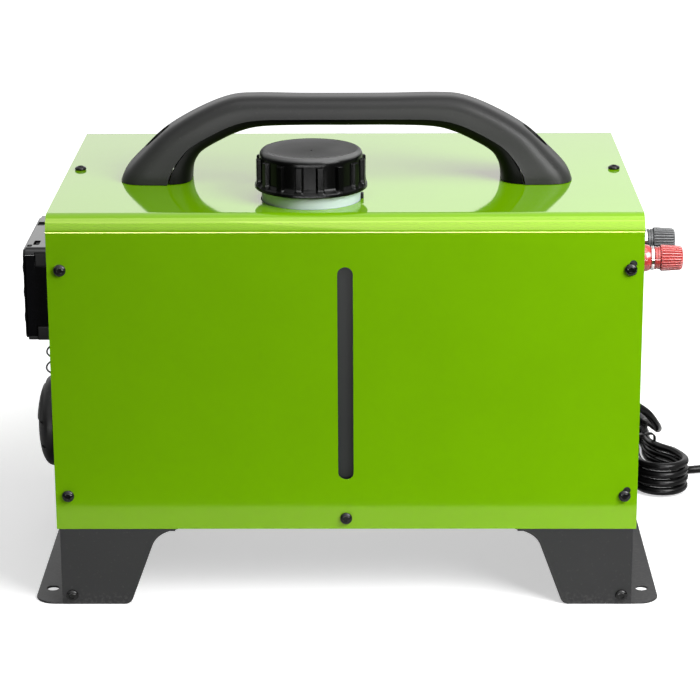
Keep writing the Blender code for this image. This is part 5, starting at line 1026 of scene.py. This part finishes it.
@dataclass
class Vent:
    """The warm air vent: bezel on the left panel, swivelling head with louvres, and its flap."""

    y: float = -0.006
    z: float = 0.092
    bezel: float = 0.0355
    tube: float = 0.0315
    head: float = 0.0335
    wall: float = 0.0024
    reach: float = 0.015
    dome: float = 0.0112
    hinge_rise: float = 0.0266
    window_low: float = 0.0065
    bluntness: float = 2.5
    rest_tilt: float = 2.6
    swings: tuple[float, ...] = (5.0, 10.0, 15.0, 20.0, 26.0)
    tube_wall: float = 0.0025
    tube_end: float = 0.0125
    tube_depth: float = 0.0135
    thinning: float = 0.0026
    louvres: tuple[Flat, ...] = ((-0.0110, 0.0300), (-0.0245, 0.0215))
    louvre_half: float = 0.0010
    flap_play: float = 0.0013
    flap_lift: float = 0.001
    swing_play: float = 0.0011
    pin: Flat = (0.0014, 0.0135)
    web: tuple[float, float, float] = (0.0062, 0.005, 0.0009)

    @property
    def centre(self) -> tuple[float, float, float]:
        """The place on the left panel that the axis passes."""
        return (LEFT, self.y, self.z)

    @property
    def hinge(self) -> Vector:
        """The middle of the flap's pin."""
        return Vector((LEFT - self.reach, self.y, self.z + self.hinge_rise))

    @property
    def tube_bore(self) -> float:
        """The bezel's inner radius."""
        return self.tube - self.tube_wall

    @property
    def head_bore(self) -> float:
        """The head's inner radius."""
        return self.head - self.wall

    def swung(self, degrees: float) -> Matrix:
        """The flap's swing about its pin."""
        turn = Matrix.Rotation(math.radians(degrees), 4, "Y")
        return Matrix.Translation(self.hinge) @ turn @ Matrix.Translation(-self.hinge)

    def dome_line(self, radius: float, depth: float, rings: int = 14) -> list[Flat]:
        """A blunt dome's line, from its middle to its rim, as (radius, reach)."""
        turns = [math.pi / 2 * i / rings for i in range(1, rings)]
        power = 2 / self.bluntness
        line = [(radius * math.sin(t) ** power, self.reach + depth * math.cos(t) ** power) for t in turns]
        return [(0, self.reach + depth)] + line + [(radius, self.reach)]

    def shell(self, name: str, base: list[Flat]) -> Piece:
        """The dome, open at the back; base leads from its outer line to its inner one."""
        inside = self.dome_line(self.head_bore, self.dome - self.thinning)
        line = self.dome_line(self.head, self.dome) + base + inside[::-1]
        return turned(name, line, "-X", self.centre, 96)

    def window(self, radius: float, low: float) -> Piece:
        """The upper part of a disc, as a solid along the axis."""
        angle = math.degrees(math.asin(low / radius))
        shape = arc((self.y, self.z), radius, angle, 180 - angle, 48)
        return plate("cutter", shape, LEFT - 0.060, LEFT - 0.0124, "X")

    def build_bezel(self) -> None:
        """Turn the bezel with its tube."""
        f, tube, end = self.bezel, self.tube, self.tube_end
        line = [(tube, end), (tube, 0.0042), (tube + 0.0008, 0.0034), (f - 0.0016, 0.0033)]
        line += [(f - 0.0005, 0.0028), (f, 0.0018), (f, GAP), (tube, GAP)]
        line += [(tube, -self.tube_depth), (self.tube_bore, -self.tube_depth), (self.tube_bore, end)]
        ring = turned("vent_bezel_ring", line, "-X", self.centre, 128)
        dress(ring, PLASTIC, nodes=["vent_bezel"], angle=35)

    def build_head(self) -> None:
        """Make the head with its window and its two louvre slots."""
        neck = self.tube_bore - GAP
        base = [(self.head, 0.0136), (self.head - 0.0005, 0.0129), (neck, 0.0128), (neck, GAP)]
        base += [(neck - self.wall, GAP), (neck - self.wall, 0.0140), (self.head_bore, 0.0140)]
        head = self.shell("vent_swivel_head", base)
        cut(head, self.window(self.head_bore - GAP, self.window_low))
        for z, half in self.louvres:
            low = (LEFT - 0.04, self.y - half, self.z + z - self.louvre_half)
            high = (LEFT - 0.0135, self.y + half, self.z + z + self.louvre_half)
            cut(head, block("cutter", low, high))
        soften(head, 0.0003, 2, 45)
        dress(head, PLASTIC, "vent_head", ["vent_head"], angle=35)

    def build_flap(self) -> None:
        """Make the flap with its pin, free of the head's window through all of its swing."""
        back = self.reach - self.thinning
        flap = self.shell("vent_back_flow_flap", [(self.head, back), (self.head_bore, back)])
        room = self.window(self.head_bore - self.flap_play, self.window_low + self.flap_lift)
        cut(flap, room, operation="INTERSECT")
        for degrees in self.swings:
            room = self.window(self.head_bore - self.swing_play, self.window_low)
            room.data.transform(self.swung(-degrees))
            cut(flap, room, operation="INTERSECT")
        soften(flap, 0.0003, 2, 45)
        flap.data.transform(self.swung(self.rest_tilt))
        radius, half = self.pin
        pin = rod("pin", radius, self.hinge - Vector((0, half, 0)), self.hinge + Vector((0, half, 0)), 24)
        reach, half, thick = self.web
        low, high = Vector((-reach, -half, -thick)), Vector((-0.0004, half, thick))
        web = block("web", self.hinge + low, self.hinge + high)
        dress(fuse(flap, pin, web), PLASTIC, "vent_flap", ["vent_flap"], angle=35)

    def build(self) -> None:
        """Make the three pieces."""
        self.build_bezel()
        self.build_head()
        self.build_flap()


@dataclass
class Controller:
    """The hand controller in its bracket on the left panel, with display, three buttons and clips."""

    front: float = -0.128
    back: float = -0.032
    low: float = 0.189
    high: float = 0.254
    edge: float = 0.005
    button_y: float = -0.118
    button_z: tuple[float, float, float] = (0.2387, 0.2215, 0.2043)
    button_radius: float = 0.0048
    skirt: float = 0.0032
    notches: tuple[tuple[float, ...], ...] = (
        # near and far reach, front and back, depth
        (0.0068, 0.0110, -0.1175, -0.1060, 0.0024),
        (0.0112, 0.0146, -0.1225, -0.1165, 0.0010),
        (0.0098, 0.0160, -0.0640, -0.0540, 0.0024),
    )
    key_line: tuple[Flat, ...] = (
        # share of the button's radius, reach
        (0, 0.0183), (0.45, 0.01825), (0.75, 0.0180), (0.92, 0.0176), (1, 0.0171), (1, 0.0153), (0, 0.0153),
    )
    clip: Flat = (0.0035, 0.0095)
    clip_reach: float = 0.0086
    face_back: float = 0.0153
    face_reach: float = 0.0170
    well_floor: float = 0.0138
    button_play: float = 0.0004
    display_y: Flat = (-0.0980, -0.0520)
    display_half: float = 0.015

    def box(self, name: str, start: float, end: float, margin: float, edge: float) -> Piece:
        """A box with round corners on the left panel, between two reaches."""
        sides = (self.front + margin, self.back - margin, self.low + margin, self.high - margin)
        return plate(name, round_box(*sides, edge), LEFT - end, LEFT - start, "X")

    def button_bore(self, z: float, start: float, end: float) -> Piece:
        """A cutter with room for one button, between two places along X."""
        radius = self.button_radius + self.button_play
        return rod("cutter", radius, (start, self.button_y, z), (end, self.button_y, z), 48)

    def display(self, name: str, inset: float, edge: float, low: float, high: float) -> Piece:
        """The display's plate with round corners, drawn in by an inset."""
        (near, far), half = self.display_y, self.display_half - inset
        middle = (self.low + self.high) / 2
        shape = round_box(near + inset, far - inset, middle - half, middle + half, edge)
        return plate(name, shape, low, high, "X")

    def build_bracket(self) -> list[Piece]:
        """Make the bracket with its four clips, and give back cutters with room for them."""
        bracket = soften(self.box("controller_holder", GAP, 0.0060, self.skirt, self.edge), 0.0003, 2)
        wide, tall = self.clip
        clips, rooms = [], []
        for y in (self.front - 0.0004, self.back - 0.0031):
            for z in (self.high - 0.0125, self.low + 0.0010):
                clip = block("clip", (LEFT - self.clip_reach, y, z), (LEFT - GAP, y + wide, z + tall))
                clips.append(soften(clip, 0.0007, 3))
                low = (LEFT - self.clip_reach - GAP, y - 0.01, z - GAP)
                rooms.append(block("cutter", low, (LEFT, y + wide + 0.01, z + tall + GAP)))
        dress(fuse(bracket, *clips), DEEP_BLACK, nodes=["controller_bracket"], angle=35)
        return rooms

    def build_case(self, rooms: list[Piece]) -> None:
        """Make the case, hollow over the bracket, with its notches and the buttons' wells."""
        case = self.box("controller_shell", 0.0006, 0.0150, 0.0, self.edge)
        cut(case, self.box("cutter", -0.0100, 0.0063, self.skirt - GAP, self.edge), *rooms)
        for x0, x1, y0, y1, deep in self.notches:
            place = (LEFT - x1, y0, self.high - deep), (LEFT - x0, y1, self.high + 0.01)
            cut(case, soften(block("cutter", *place), 0.0012, 3))
        for z in self.button_z:
            cut(case, self.button_bore(z, LEFT - self.well_floor, LEFT - 0.0200))
        soften(case, 0.0005, 2)
        dress(case, GLOSS, nodes=["controller_case"], angle=35)

    def build_face(self) -> None:
        """Make the face, the display's pane and the three buttons."""
        face_x = LEFT - self.face_reach
        shell = self.box("controller_front_shell", self.face_back, self.face_reach, 0.0014, 0.0042)
        face = soften(shell, 0.0011, 4)
        for z in self.button_z:
            cut(face, self.button_bore(z, face_x - 0.01, face_x + 0.01))
        cut(face, self.display("cutter", 0.0, 0.0015, face_x - 0.01, face_x + 0.0005))
        dress(face, GLOSS, nodes=["controller_face"], angle=35)
        pane = self.display("controller_display", GAP, 0.0013, face_x + 0.00015, face_x + 0.0006)
        dress(soften(pane, 0.00012, 2), GLASS)
        profile = [(self.button_radius * share, reach) for share, reach in self.key_line]
        for name, z in zip(("up", "power", "down"), self.button_z):
            key = turned("key_" + name, profile, "-X", (LEFT, self.button_y, z), 56)
            dress(key, PLASTIC, "button_" + name, ["button_" + name], angle=35)

    def build(self) -> None:
        """Make bracket, case, face, glass, buttons and clips."""
        self.build_case(self.build_bracket())
        self.build_face()


@dataclass
class SensorLead:
    """The thin grey wire that curls from the controller's bracket into the left panel."""

    y: float = -0.076
    axis_x: float = -0.2068
    curl: float = 0.0050
    radius: float = 0.00065
    top_z: float = 0.1865
    low_z: float = 0.1420
    curls: float = 2.0
    curl_high: float = 0.1723
    curl_low: float = 0.1491
    around: int = 10
    start_x: float = -0.2030
    entry: Flat = (-0.2020, -0.1960)

    def build(self) -> None:
        """Lay the wire on one smooth curve."""
        start = Vector((self.start_x, self.y, self.top_z))
        route = [start, start - Vector((0, 0, 0.002))]
        first, last = self.curl_high, self.curl_low
        count = round(self.curls * self.around)
        for i in range(count + 1):
            turn = 2 * math.pi * i / self.around
            z = first + (last - first) * i / count
            r = self.curl * (0.8 + 0.4 * i / count)
            route.append(Vector((self.axis_x + 0.7 * r * math.cos(turn), self.y + r * math.sin(turn), z)))
        route += [Vector((x, self.y, self.low_z)) for x in self.entry]
        route = smooth_route(route, 0.0012)
        wire = dress(tube("sensor_wire", route, self.radius, 3), WIRE, nodes=["sensor_lead"])
        route_length(route)


@dataclass
class BindingPosts:
    """The red and the black binding post: base, chrome washer and fluted knob."""

    z: float = 0.2448
    reach: float = 0.027
    flutes: int = 26
    around: int = 12
    groove: float = 0.0010
    knob: float = 0.0089
    tip: float = 0.0082
    stud: float = 0.003
    stud_reach: float = 0.020
    foot: float = 0.0045
    foot_depth: float = 0.012
    washer_low: float = 0.0058
    washer_bore: float = 0.0033
    washer_step: float = 0.0011
    collar: tuple[Flat, ...] = (
        # radius, height over the washer
        (0.0045, 0.0), (0.0074, 0.0), (0.0078, 0.0004), (0.0078, 0.0011), (0.0073, 0.0014),
        (0.0073, 0.0020), (0.0078, 0.0023), (0.0078, 0.0034), (0.0074, 0.0038),
    )

    def knob_ring(self, y: float, radius: float, reach: float, relief: float) -> list[Place]:
        """A ring round the axis, drawn in between the flutes' crests."""
        found = []
        for i in range(self.flutes * self.around):
            share = (i % self.around) / self.around
            r = radius - relief * self.groove * (0.5 + 0.5 * math.cos(2 * math.pi * share)) ** 3
            turn = 2 * math.pi * i / (self.flutes * self.around)
            found.append((RIGHT + reach, y + r * math.cos(turn), self.z + r * math.sin(turn)))
        return found

    def build_base(self, name: str, y: float, finish: Finish) -> None:
        """Turn the base with its stud."""
        stud, end, foot, depth = self.stud, self.stud_reach, self.foot, self.foot_depth
        line = [(0, end), (stud, end), (stud, 0.0055), (0.0076, 0.0055), (0.0084, 0.0050)]
        line += [(0.0090, 0.0034), (0.0092, 0.0020), (0.0092, GAP), (foot, GAP), (foot, -depth), (0, -depth)]
        base = turned(name + "_post_base", line, "X", (RIGHT, y, self.z), 72)
        dress(base, finish, nodes=[name + "_post"])

    def build_washer(self, name: str, y: float) -> None:
        """Turn the washer with its two round edges."""
        low, valley, crest, step = self.washer_low, 0.0078, 0.0082, self.washer_step
        line = [(self.washer_bore, low)]
        for start in (low, low + step):
            line += [(valley, start), (crest, start + 0.0003), (crest, start + 0.0008)]
        line += [(valley, low + 2 * step), (self.washer_bore, low + 2 * step)]
        washer = turned(name + "_post_washer", line, "X", (RIGHT, y, self.z), 72)
        dress(washer, CHROME, name + "_washer", [name + "_washer"], angle=25)

    def build_knob(self, name: str, y: float, finish: Finish) -> None:
        """Loft the knob: a ridged collar and a fluted grip."""
        start, r, tip, end = self.washer_low + 0.0025, self.knob, self.tip, self.reach
        rows = [(radius, start + rise, 0.0) for radius, rise in self.collar]
        rows += [(r - 0.0010, start + 0.0038, 0.0), (r - 0.0002, start + 0.0043, 0.5)]
        rows += [(r, start + 0.0052, 1.0), (tip, end - 0.0018, 1.0), (tip - 0.0004, end - 0.0007, 0.5)]
        rows += [(tip - 0.0012, end - 0.0001, 0.0), (tip - 0.0024, end, 0.0), (0.0010, end, 0.0)]
        knob = lofted(name + "_post_knob", [self.knob_ring(y, *row) for row in rows])
        dress(knob, finish, name + "_knob", [name + "_knob"], angle=38)

    def build(self) -> None:
        """Make both posts."""
        for name, y, finish, base in (("red", -0.1195, RED, RED), ("black", -0.0718, GREY, TANK)):
            self.build_base(name, y, base)
            self.build_washer(name, y)
            self.build_knob(name, y, finish)


@dataclass
class Grille:
    """The round air intake grille on the right panel."""

    y: float = 0.016
    z: float = 0.112
    radius: float = 0.046
    rim: float = 0.006
    bars: int = 9
    bar_half: float = 0.0014
    spine_half: float = 0.0020

    def build(self) -> None:
        """Turn the rim and set rounded bars across it."""
        r, i = self.radius, self.radius - self.rim
        profile = [(i, GAP), (r, GAP), (r, 0.0018), (r - 0.0006, 0.0028), (r - 0.0018, 0.0033)]
        profile += [(i + 0.0010, 0.0033), (i, 0.0026)]
        grille = turned("air_intake_grille", profile, "X", (RIGHT, self.y, self.z), 128)
        bars = []
        step = 2 * i / (self.bars + 1)
        for k in range(self.bars):
            z = (k - (self.bars - 1) / 2) * step
            half = math.sqrt((i + 0.001) ** 2 - z * z)
            low = (RIGHT + 0.0007, self.y - half, self.z + z - self.bar_half)
            high = (RIGHT + 0.0029, self.y + half, self.z + z + self.bar_half)
            bars.append(soften(block("bar", low, high), 0.0007, 3))
        low = (RIGHT + 0.0005, self.y - self.spine_half, self.z - i)
        high = (RIGHT + 0.0023, self.y + self.spine_half, self.z + i)
        spine = soften(block("bar", low, high), 0.0005)
        dress(fuse(grille, *bars, spine), PLASTIC, nodes=["intake_grille"], angle=35)


@dataclass
class Pipes:
    """The exhaust and combustion air stubs under the base pan."""

    y: float = 0.016
    radius: float = 0.012
    bore: float = 0.0105
    low: float = 0.022
    high: float = 0.0777

    def build(self) -> None:
        """Turn both, with a hose bead at the lower end."""
        r, b, low, high = self.radius, self.bore, self.low, self.high
        for name, x in (("exhaust_pipe", -0.070), ("combustion_air_pipe", -0.010)):
            profile = [(b, low), (r - 0.0005, low), (r, low + 0.0006), (r, low + 0.0040)]
            profile += [(r + 0.0006, low + 0.0052), (r, low + 0.0064), (r, high), (b, high)]
            dress(turned(name + "_tube", profile, "Z", (x, self.y, 0), 72), STEEL, nodes=[name])


@dataclass
class Hoses:
    """The two fuel hoses between tank, pump and burner."""

    radius: float = 0.0024
    burner: tuple[float, float, float] = (0.0130, 0.016, 0.112)
    inlet: Flat = (0.0333, 0.0624)
    inlet_tilt: float = -30.0
    suction: tuple[Place, ...] = (
        (0.1323, -0.089, 0.068), (0.1403, -0.089, 0.068), (0.168, -0.069, 0.065), (0.172, 0.016, 0.064),
        (0.168, 0.068, 0.068), (0.1353, 0.101, 0.084), (0.1133, 0.104, 0.090), (0.1053, 0.104, 0.090),
    )
    delivery: tuple[Place, ...] = (
        (0.0147, 0.084, 0.078), (-0.0013, 0.100, 0.086), (0.0067, 0.104, 0.090), (0.0147, 0.104, 0.090),
    )

    def build(self) -> None:
        """Lay both hoses, each on one smooth curve from end to end."""
        x, y, z = self.burner
        tilt = math.radians(self.inlet_tilt)
        near, far = (Vector((x, y + r * math.cos(tilt), z + r * math.sin(tilt))) for r in self.inlet)
        delivery = (near, near.lerp(far, 0.8), far, *self.delivery)
        for name, points in (("suction_line", self.suction), ("delivery_line", delivery)):
            route = [Vector(points[0]), *smooth_route(points[1:-1], 0.004), Vector(points[-1])]
            hose = dress(tube(name + "_hose", route, self.radius, 4), RUBBER, nodes=[name])
            route_length(route)


@dataclass
class SupplyLead:
    """The supply lead: grommet, drop, folded hank with its tie, tail and plug, on one curve."""

    radius: float = 0.0031
    exit_x: float = 0.2131
    exit_y: float = 0.096
    exit_z: float = 0.070
    near: Flat = (0.2432, 0.0950)
    length: float = 0.100
    lean: float = 13.0
    lobe: float = 0.0180
    waist: float = 0.0075
    loops: int = 4
    pitch: float = 0.0067
    lobe_points: int = 6
    run_points: int = 6
    end_run: float = 0.0065
    low: float = 0.0048
    tie_thickness: float = 0.0012
    tie_width: float = 0.0040
    tie_wire: float = 0.00075
    # lean and height of the tie's two ends
    tie_ends: tuple[Flat, ...] = ((0.0035, 0.0095), (-0.0030, 0.0070))
    drop_places: tuple[Place, ...] = (
        (0.2310, 0.0990, 0.0620), (0.2390, 0.1080, 0.0500), (0.2430, 0.1240, 0.0405),
        (0.2430, 0.1430, 0.0355), (0.2405, 0.1620, 0.0325), (0.2385, 0.1780, 0.0280),
    )
    tail_places: tuple[Place, ...] = (
        (0.2590, 0.1185, 0.0040), (0.2650, 0.1290, 0.0034), (0.2780, 0.1330, 0.0034),
        (0.2900, 0.1330, 0.0050), (0.3000, 0.1330, 0.0090), (0.3100, 0.1330, 0.0105),
        (0.3170, 0.1330, 0.0105),
    )

    def axes(self) -> tuple[Vector, Vector, Vector]:
        """The hank's near end, and the ways along it and across it."""
        lean = math.radians(self.lean)
        forward = Vector((-math.sin(lean), math.cos(lean), 0))
        side = Vector((math.cos(lean), math.sin(lean), 0))
        return Vector((*self.near, 0)), forward, side

    def hank(self) -> list[Vector]:
        """The folded lead from its lowest place to its highest: long loops, drawn in at the waist."""
        near, forward, side = self.axes()
        points: list[Vector] = []

        def add(u: float, v: float, z: float) -> None:
            """Add one place, u along the hank and v across it."""
            points.append(near + forward * u + side * v + Vector((0, 0, z)))

        def half(u: float) -> float:
            """The hank's half width at u."""
            return self.lobe - (self.lobe - self.waist) * math.sin(math.pi * u / self.length) ** 2

        add(self.end_run, self.lobe, self.low)
        for loop in range(self.loops):
            z = self.low + loop * self.pitch
            turns = [math.pi * i / self.lobe_points for i in range(self.lobe_points + 1)]
            for t in turns:
                add(-self.lobe * math.sin(t), self.lobe * math.cos(t), z)
            for i in range(1, self.run_points):
                u = self.length * i / self.run_points
                add(u, -half(u), z)
            for t in turns:
                add(self.length + self.lobe * math.sin(t), -self.lobe * math.cos(t), z)
            if loop == self.loops - 1:
                add(self.length - self.end_run, self.lobe, z)
                break
            for i in range(1, self.run_points):
                u = self.length * (1 - i / self.run_points)
                add(u, half(u), z + self.pitch * (i - 1) / (self.run_points - 2))
        return points

    def build(self) -> None:
        """Lay the lead and set what is on it."""
        start = Vector((self.exit_x, self.exit_y, self.exit_z))
        hank = self.hank()
        _, forward, _ = self.axes()
        run = forward * self.end_run
        route = [start, start + Vector((self.end_run, 0, 0)), *map(Vector, self.drop_places)]
        route += [hank[-1] - run, *hank[::-1], hank[0] + run, *map(Vector, self.tail_places)]
        route = smooth_route(route, 0.0035)
        lead = tube("supply_lead", route, self.radius, 5)
        lead = dress(lead, SHEATH, nodes=["cord_drop", "cord_hank", "cord_tail"])
        tie, plug = self.build_tie(), self.build_plug()
        self.build_grommet()
        route_length(route)

    def build_tie(self) -> Piece:
        """A twist tie round the waist, with its twisted ends standing up."""
        near, forward, side = self.axes()
        half = self.waist + self.radius + GAP
        low, high = self.low - self.radius - GAP, self.low + (self.loops - 1) * self.pitch + self.radius + GAP
        t = self.tie_thickness

        def loop(grow: float) -> list[Flat]:
            """The band's outline (across, up), grown outwards."""
            return round_box(-half - grow, half + grow, low - grow, high + grow, self.radius + grow)

        band = plate("cord_twist_tie", loop(t), -self.tie_width / 2, self.tie_width / 2, "-Y")
        cut(band, plate("cutter", loop(0.0), -0.02, 0.02, "-Y"))
        soften(band, 0.0004, 3)
        ends, root = [], half * 0.2
        for lean, tall in self.tie_ends:
            line = [(root, 0, high + 0.0004), (root + lean * 0.3, 0, high + tall * 0.4)]
            line.append((root + lean, 0.0008, high + tall))
            end = tube("end", smooth_route(line, 0.0015), self.tie_wire, 3)
            hold(end)
            bpy.ops.object.convert(target="MESH")
            ends.append(bpy.context.object)
        fuse(band, *ends)
        middle = near + forward * (self.length / 2)
        band.data.transform(Matrix.Translation(middle) @ Matrix.Rotation(math.radians(self.lean), 4, "Z"))
        return dress(band, PLASTIC, nodes=["cord_tie"], angle=35)

    def build_plug(self) -> Piece:
        """A slim two-pole plug with a ribbed grip."""
        x, y, z = self.tail_places[-1]
        profile = [(0, 0), (0.0044, 0), (0.0044, 0.004)]
        for i in range(4):
            s = 0.0050 + i * 0.0026
            r = 0.0054 + i * 0.0012
            profile += [(r, s), (r + 0.0002, s + 0.0012), (r - 0.0006, s + 0.0016), (r - 0.0004, s + 0.0024)]
        profile += [(0.0100, 0.0165), (0.0105, 0.0180), (0.0105, 0.0290), (0.0101, 0.0298)]
        profile += [(0.0089, 0.0322), (0.0088, 0.0330), (0.0088, 0.0550), (0.0083, 0.0562)]
        profile += [(0.0040, 0.0564), (0.0040, 0.0606), (0.0032, 0.0619), (0, 0.062)]
        plug = turned("lead_plug", profile, "X", (x + GAP, y, z), 72)
        fins = []
        for s in (-1, 1):
            near, far = sorted((y + s * 0.0080, y + s * 0.0094))
            fin = block("fin", (x + 0.036, near, z - 0.0018), (x + 0.051, far, z + 0.0018))
            fins.append(soften(fin, 0.0004))
        return dress(fuse(plug, *fins), PLASTIC, nodes=["cord_plug"], angle=35)

    def build_grommet(self) -> None:
        """The strain relief where the lead leaves the right panel."""
        profile = [(0, 0.0125), (0.0040, 0.0125), (0.0044, 0.0120)]
        for i in range(3):
            s = 0.0108 - i * 0.0026
            r = 0.0047 + i * 0.0006
            profile += [(r, s), (r, s - 0.0014), (r - 0.0007, s - 0.0016), (r - 0.0007, s - 0.0024)]
        profile += [(0.0060, 0.0028), (0.0081, 0.0028), (0.0085, 0.0022), (0.0085, GAP)]
        profile += [(0.0060, GAP), (0.0060, -0.007), (0, -0.007)]
        grommet = turned("lead_grommet", profile, "X", (RIGHT, self.exit_y, self.exit_z), 64)
        dress(grommet, RUBBER, nodes=["cord_grommet"])


# Studio


@dataclass
class Studio:
    """Plain pale floor, soft light, white background, and the camera at the photograph's place."""

    lens: float = 130.70
    pitch: float = 72.97
    yaw: float = 0.63
    roll: float = -0.25
    camera_place: tuple[float, float, float] = (0.0212, -1.7773, 0.6879)
    floor_front: float = 0.33
    fill: float = 0.05
    near_glow: float = 0.55
    glow_start: float = 0.30
    glow_end: float = 0.60
    room_dark: float = 0.06
    room_lean: float = 0.4
    room_rise: float = 3.0

    def camera(self) -> None:
        """Set the camera."""
        data = bpy.data.cameras.new("camera")
        data.lens, data.sensor_width = self.lens, 36.0
        camera = bpy.data.objects.new("camera", data)
        turn = Matrix.Identity(4)
        for degrees, axis in ((self.yaw, "Z"), (self.pitch, "X"), (self.roll, "Z")):
            turn = turn @ Matrix.Rotation(math.radians(degrees), 4, axis)
        camera.matrix_world = Matrix.Translation(self.camera_place) @ turn
        bpy.context.scene.collection.objects.link(camera)
        bpy.context.scene.camera = camera

    def lamp(self, name: str, place: Place, aim: Place, size: Flat, power: float) -> Piece:
        """A soft box that faces a place."""
        data = bpy.data.lights.new(name, "AREA")
        data.shape, data.size, data.size_y, data.energy = "RECTANGLE", *size, power
        light = bpy.data.objects.new(name, data)
        light.location = place
        light.rotation_euler = (Vector(place) - Vector(aim)).to_track_quat("Z", "Y").to_euler()
        light.visible_camera = False
        bpy.context.scene.collection.objects.link(light)
        return light

    def floor(self) -> None:
        """A pale floor, white to the camera except where the heater shades it."""
        clear()
        bpy.ops.mesh.primitive_plane_add(size=6, location=(0, 3.0 - self.floor_front, 0))
        ground = named("studio_floor")
        paint = Paint("pale_floor")
        paint.feed(paint.mix(paint.noise(6.0), (0.80, 0.80, 0.80), (0.82, 0.82, 0.82)), "Base Color")
        paint.feed(0.6, "Roughness")
        paint.feed(0.1, "Specular IOR Level")
        path = paint.node("ShaderNodeLightPath", output="Is Camera Ray")
        paint.feed((1.0, 1.0, 1.0, 1.0), "Emission Color")
        # The floor turns into the white background away from the heater
        spread = paint.node("ShaderNodeVectorMath", {"operation": "LENGTH"}, {0: paint.place()}, "Value")
        glow = spread.fade(self.glow_start, self.glow_end) * (1 - self.near_glow) + self.near_glow
        paint.feed(path * glow, "Emission Strength")
        ground.data.materials.append(paint.material)

    def world(self) -> None:
        """White to the camera, and a plain even sky for all else."""
        world = bpy.data.worlds.new("studio_world")
        world.use_nodes = True
        bpy.context.scene.world = world
        tree = world.node_tree
        back = tree.nodes["Background"]

        def math_node(operation: str, first: Any, second: Any) -> bpy.types.NodeSocket:
            """A Math node of the sky."""
            made = tree.nodes.new("ShaderNodeMath")
            made.operation = operation
            for socket, value in zip(made.inputs, (first, second)):
                if isinstance(value, bpy.types.NodeSocket):
                    tree.links.new(value, socket)
                else:
                    socket.default_value = value
            return made.outputs[0]

        path = tree.nodes.new("ShaderNodeLightPath")
        spot = tree.nodes.new("ShaderNodeTexCoord")
        parts = tree.nodes.new("ShaderNodeSeparateXYZ")
        tree.links.new(spot.outputs["Generated"], parts.inputs[0])
        # Reflections see a dark room in front and a white one above and behind
        lean = math_node("MULTIPLY", parts.outputs["Y"], self.room_lean)
        rise = math_node("ADD", math_node("MULTIPLY", parts.outputs["Z"], self.room_rise), lean)
        rise.node.use_clamp = True
        room = math_node("ADD", math_node("MULTIPLY", rise, 1 - self.room_dark), self.room_dark)
        shiny = math_node("MULTIPLY", path.outputs["Is Glossy Ray"], math_node("SUBTRACT", room, self.fill))
        plain = math_node("MULTIPLY", path.outputs["Is Camera Ray"], 1 - self.fill)
        total = math_node("ADD", math_node("ADD", shiny, plain), self.fill)
        tree.links.new(total, back.inputs["Strength"])
        back.inputs["Color"].default_value = (1.0, 1.0, 1.0, 1.0)

    def build(self) -> None:
        """Set floor, world, lamps and camera."""
        self.floor()
        self.world()
        self.lamp("soft_box_key", (0.75, -0.74, 0.84), (0.0, -0.05, 0.2), (0.7, 0.7), 19.5)
        self.lamp("soft_box_above", (0.15, -0.30, 1.75), (0.0, 0.0, 0.2), (1.6, 1.0), 11.0)
        self.lamp("soft_box_behind", (0.1, 1.75, 0.75), (0.0, 0.0, 0.25), (3.2, 0.6), 3.8)
        # These three show as highlights along the upper bend and light nothing else
        for light in (
            self.lamp("strip_front", (0.0, -2.2, 0.10), (0.0, 0.0, 0.24), (2.6, 0.16), 34.0),
            self.lamp("soft_box_front", (0.2, -1.25, 1.25), (0.0, -0.1, 0.25), (2.8, 1.9), 15.0),
            self.lamp("soft_box_right", (0.55, -1.25, 1.25), (0.35, -0.1, 0.25), (1.3, 1.9), 15.0),
        ):
            light.visible_diffuse = False
        self.camera()
        view = bpy.context.scene.view_settings
        view.view_transform = "Standard"


def dress_kept_nodes() -> None:
    """Give every CAD node that stays in sight the finish of its own slot."""
    for name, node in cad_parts.items():
        if node.hide_render:
            continue
        for slot in node.material_slots:
            key = slot.material.name.split(".")[0] if slot.material else ""
            finish = FINISH_OF_SLOT.get(key)
            if finish:
                slot.material = finish.material()
                LOG.info("%s keeps its shape, %s", name, finish.name)
            else:
                LOG.warning("%s has no finish for %s", name, key)


def main() -> None:
    """Build the studio, the lead and each sub-assembly in order."""
    logging.basicConfig(level=logging.INFO, format="%(name)s: %(message)s")
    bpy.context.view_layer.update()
    Studio().build()
    for assembly in (
        SupplyLead(), SensorLead(), Hoses(), Cover(), EndPanels(), Screws(), Feet(), Handle(),
        FuelNeck(), FuelCap(), Vent(), Controller(), BindingPosts(), Grille(), Pipes(),
    ):
        assembly.build()
        LOG.info("%s done", type(assembly).__name__)
    dress_kept_nodes()
    bpy.context.view_layer.update()


if __name__ == "__main__":
    main()
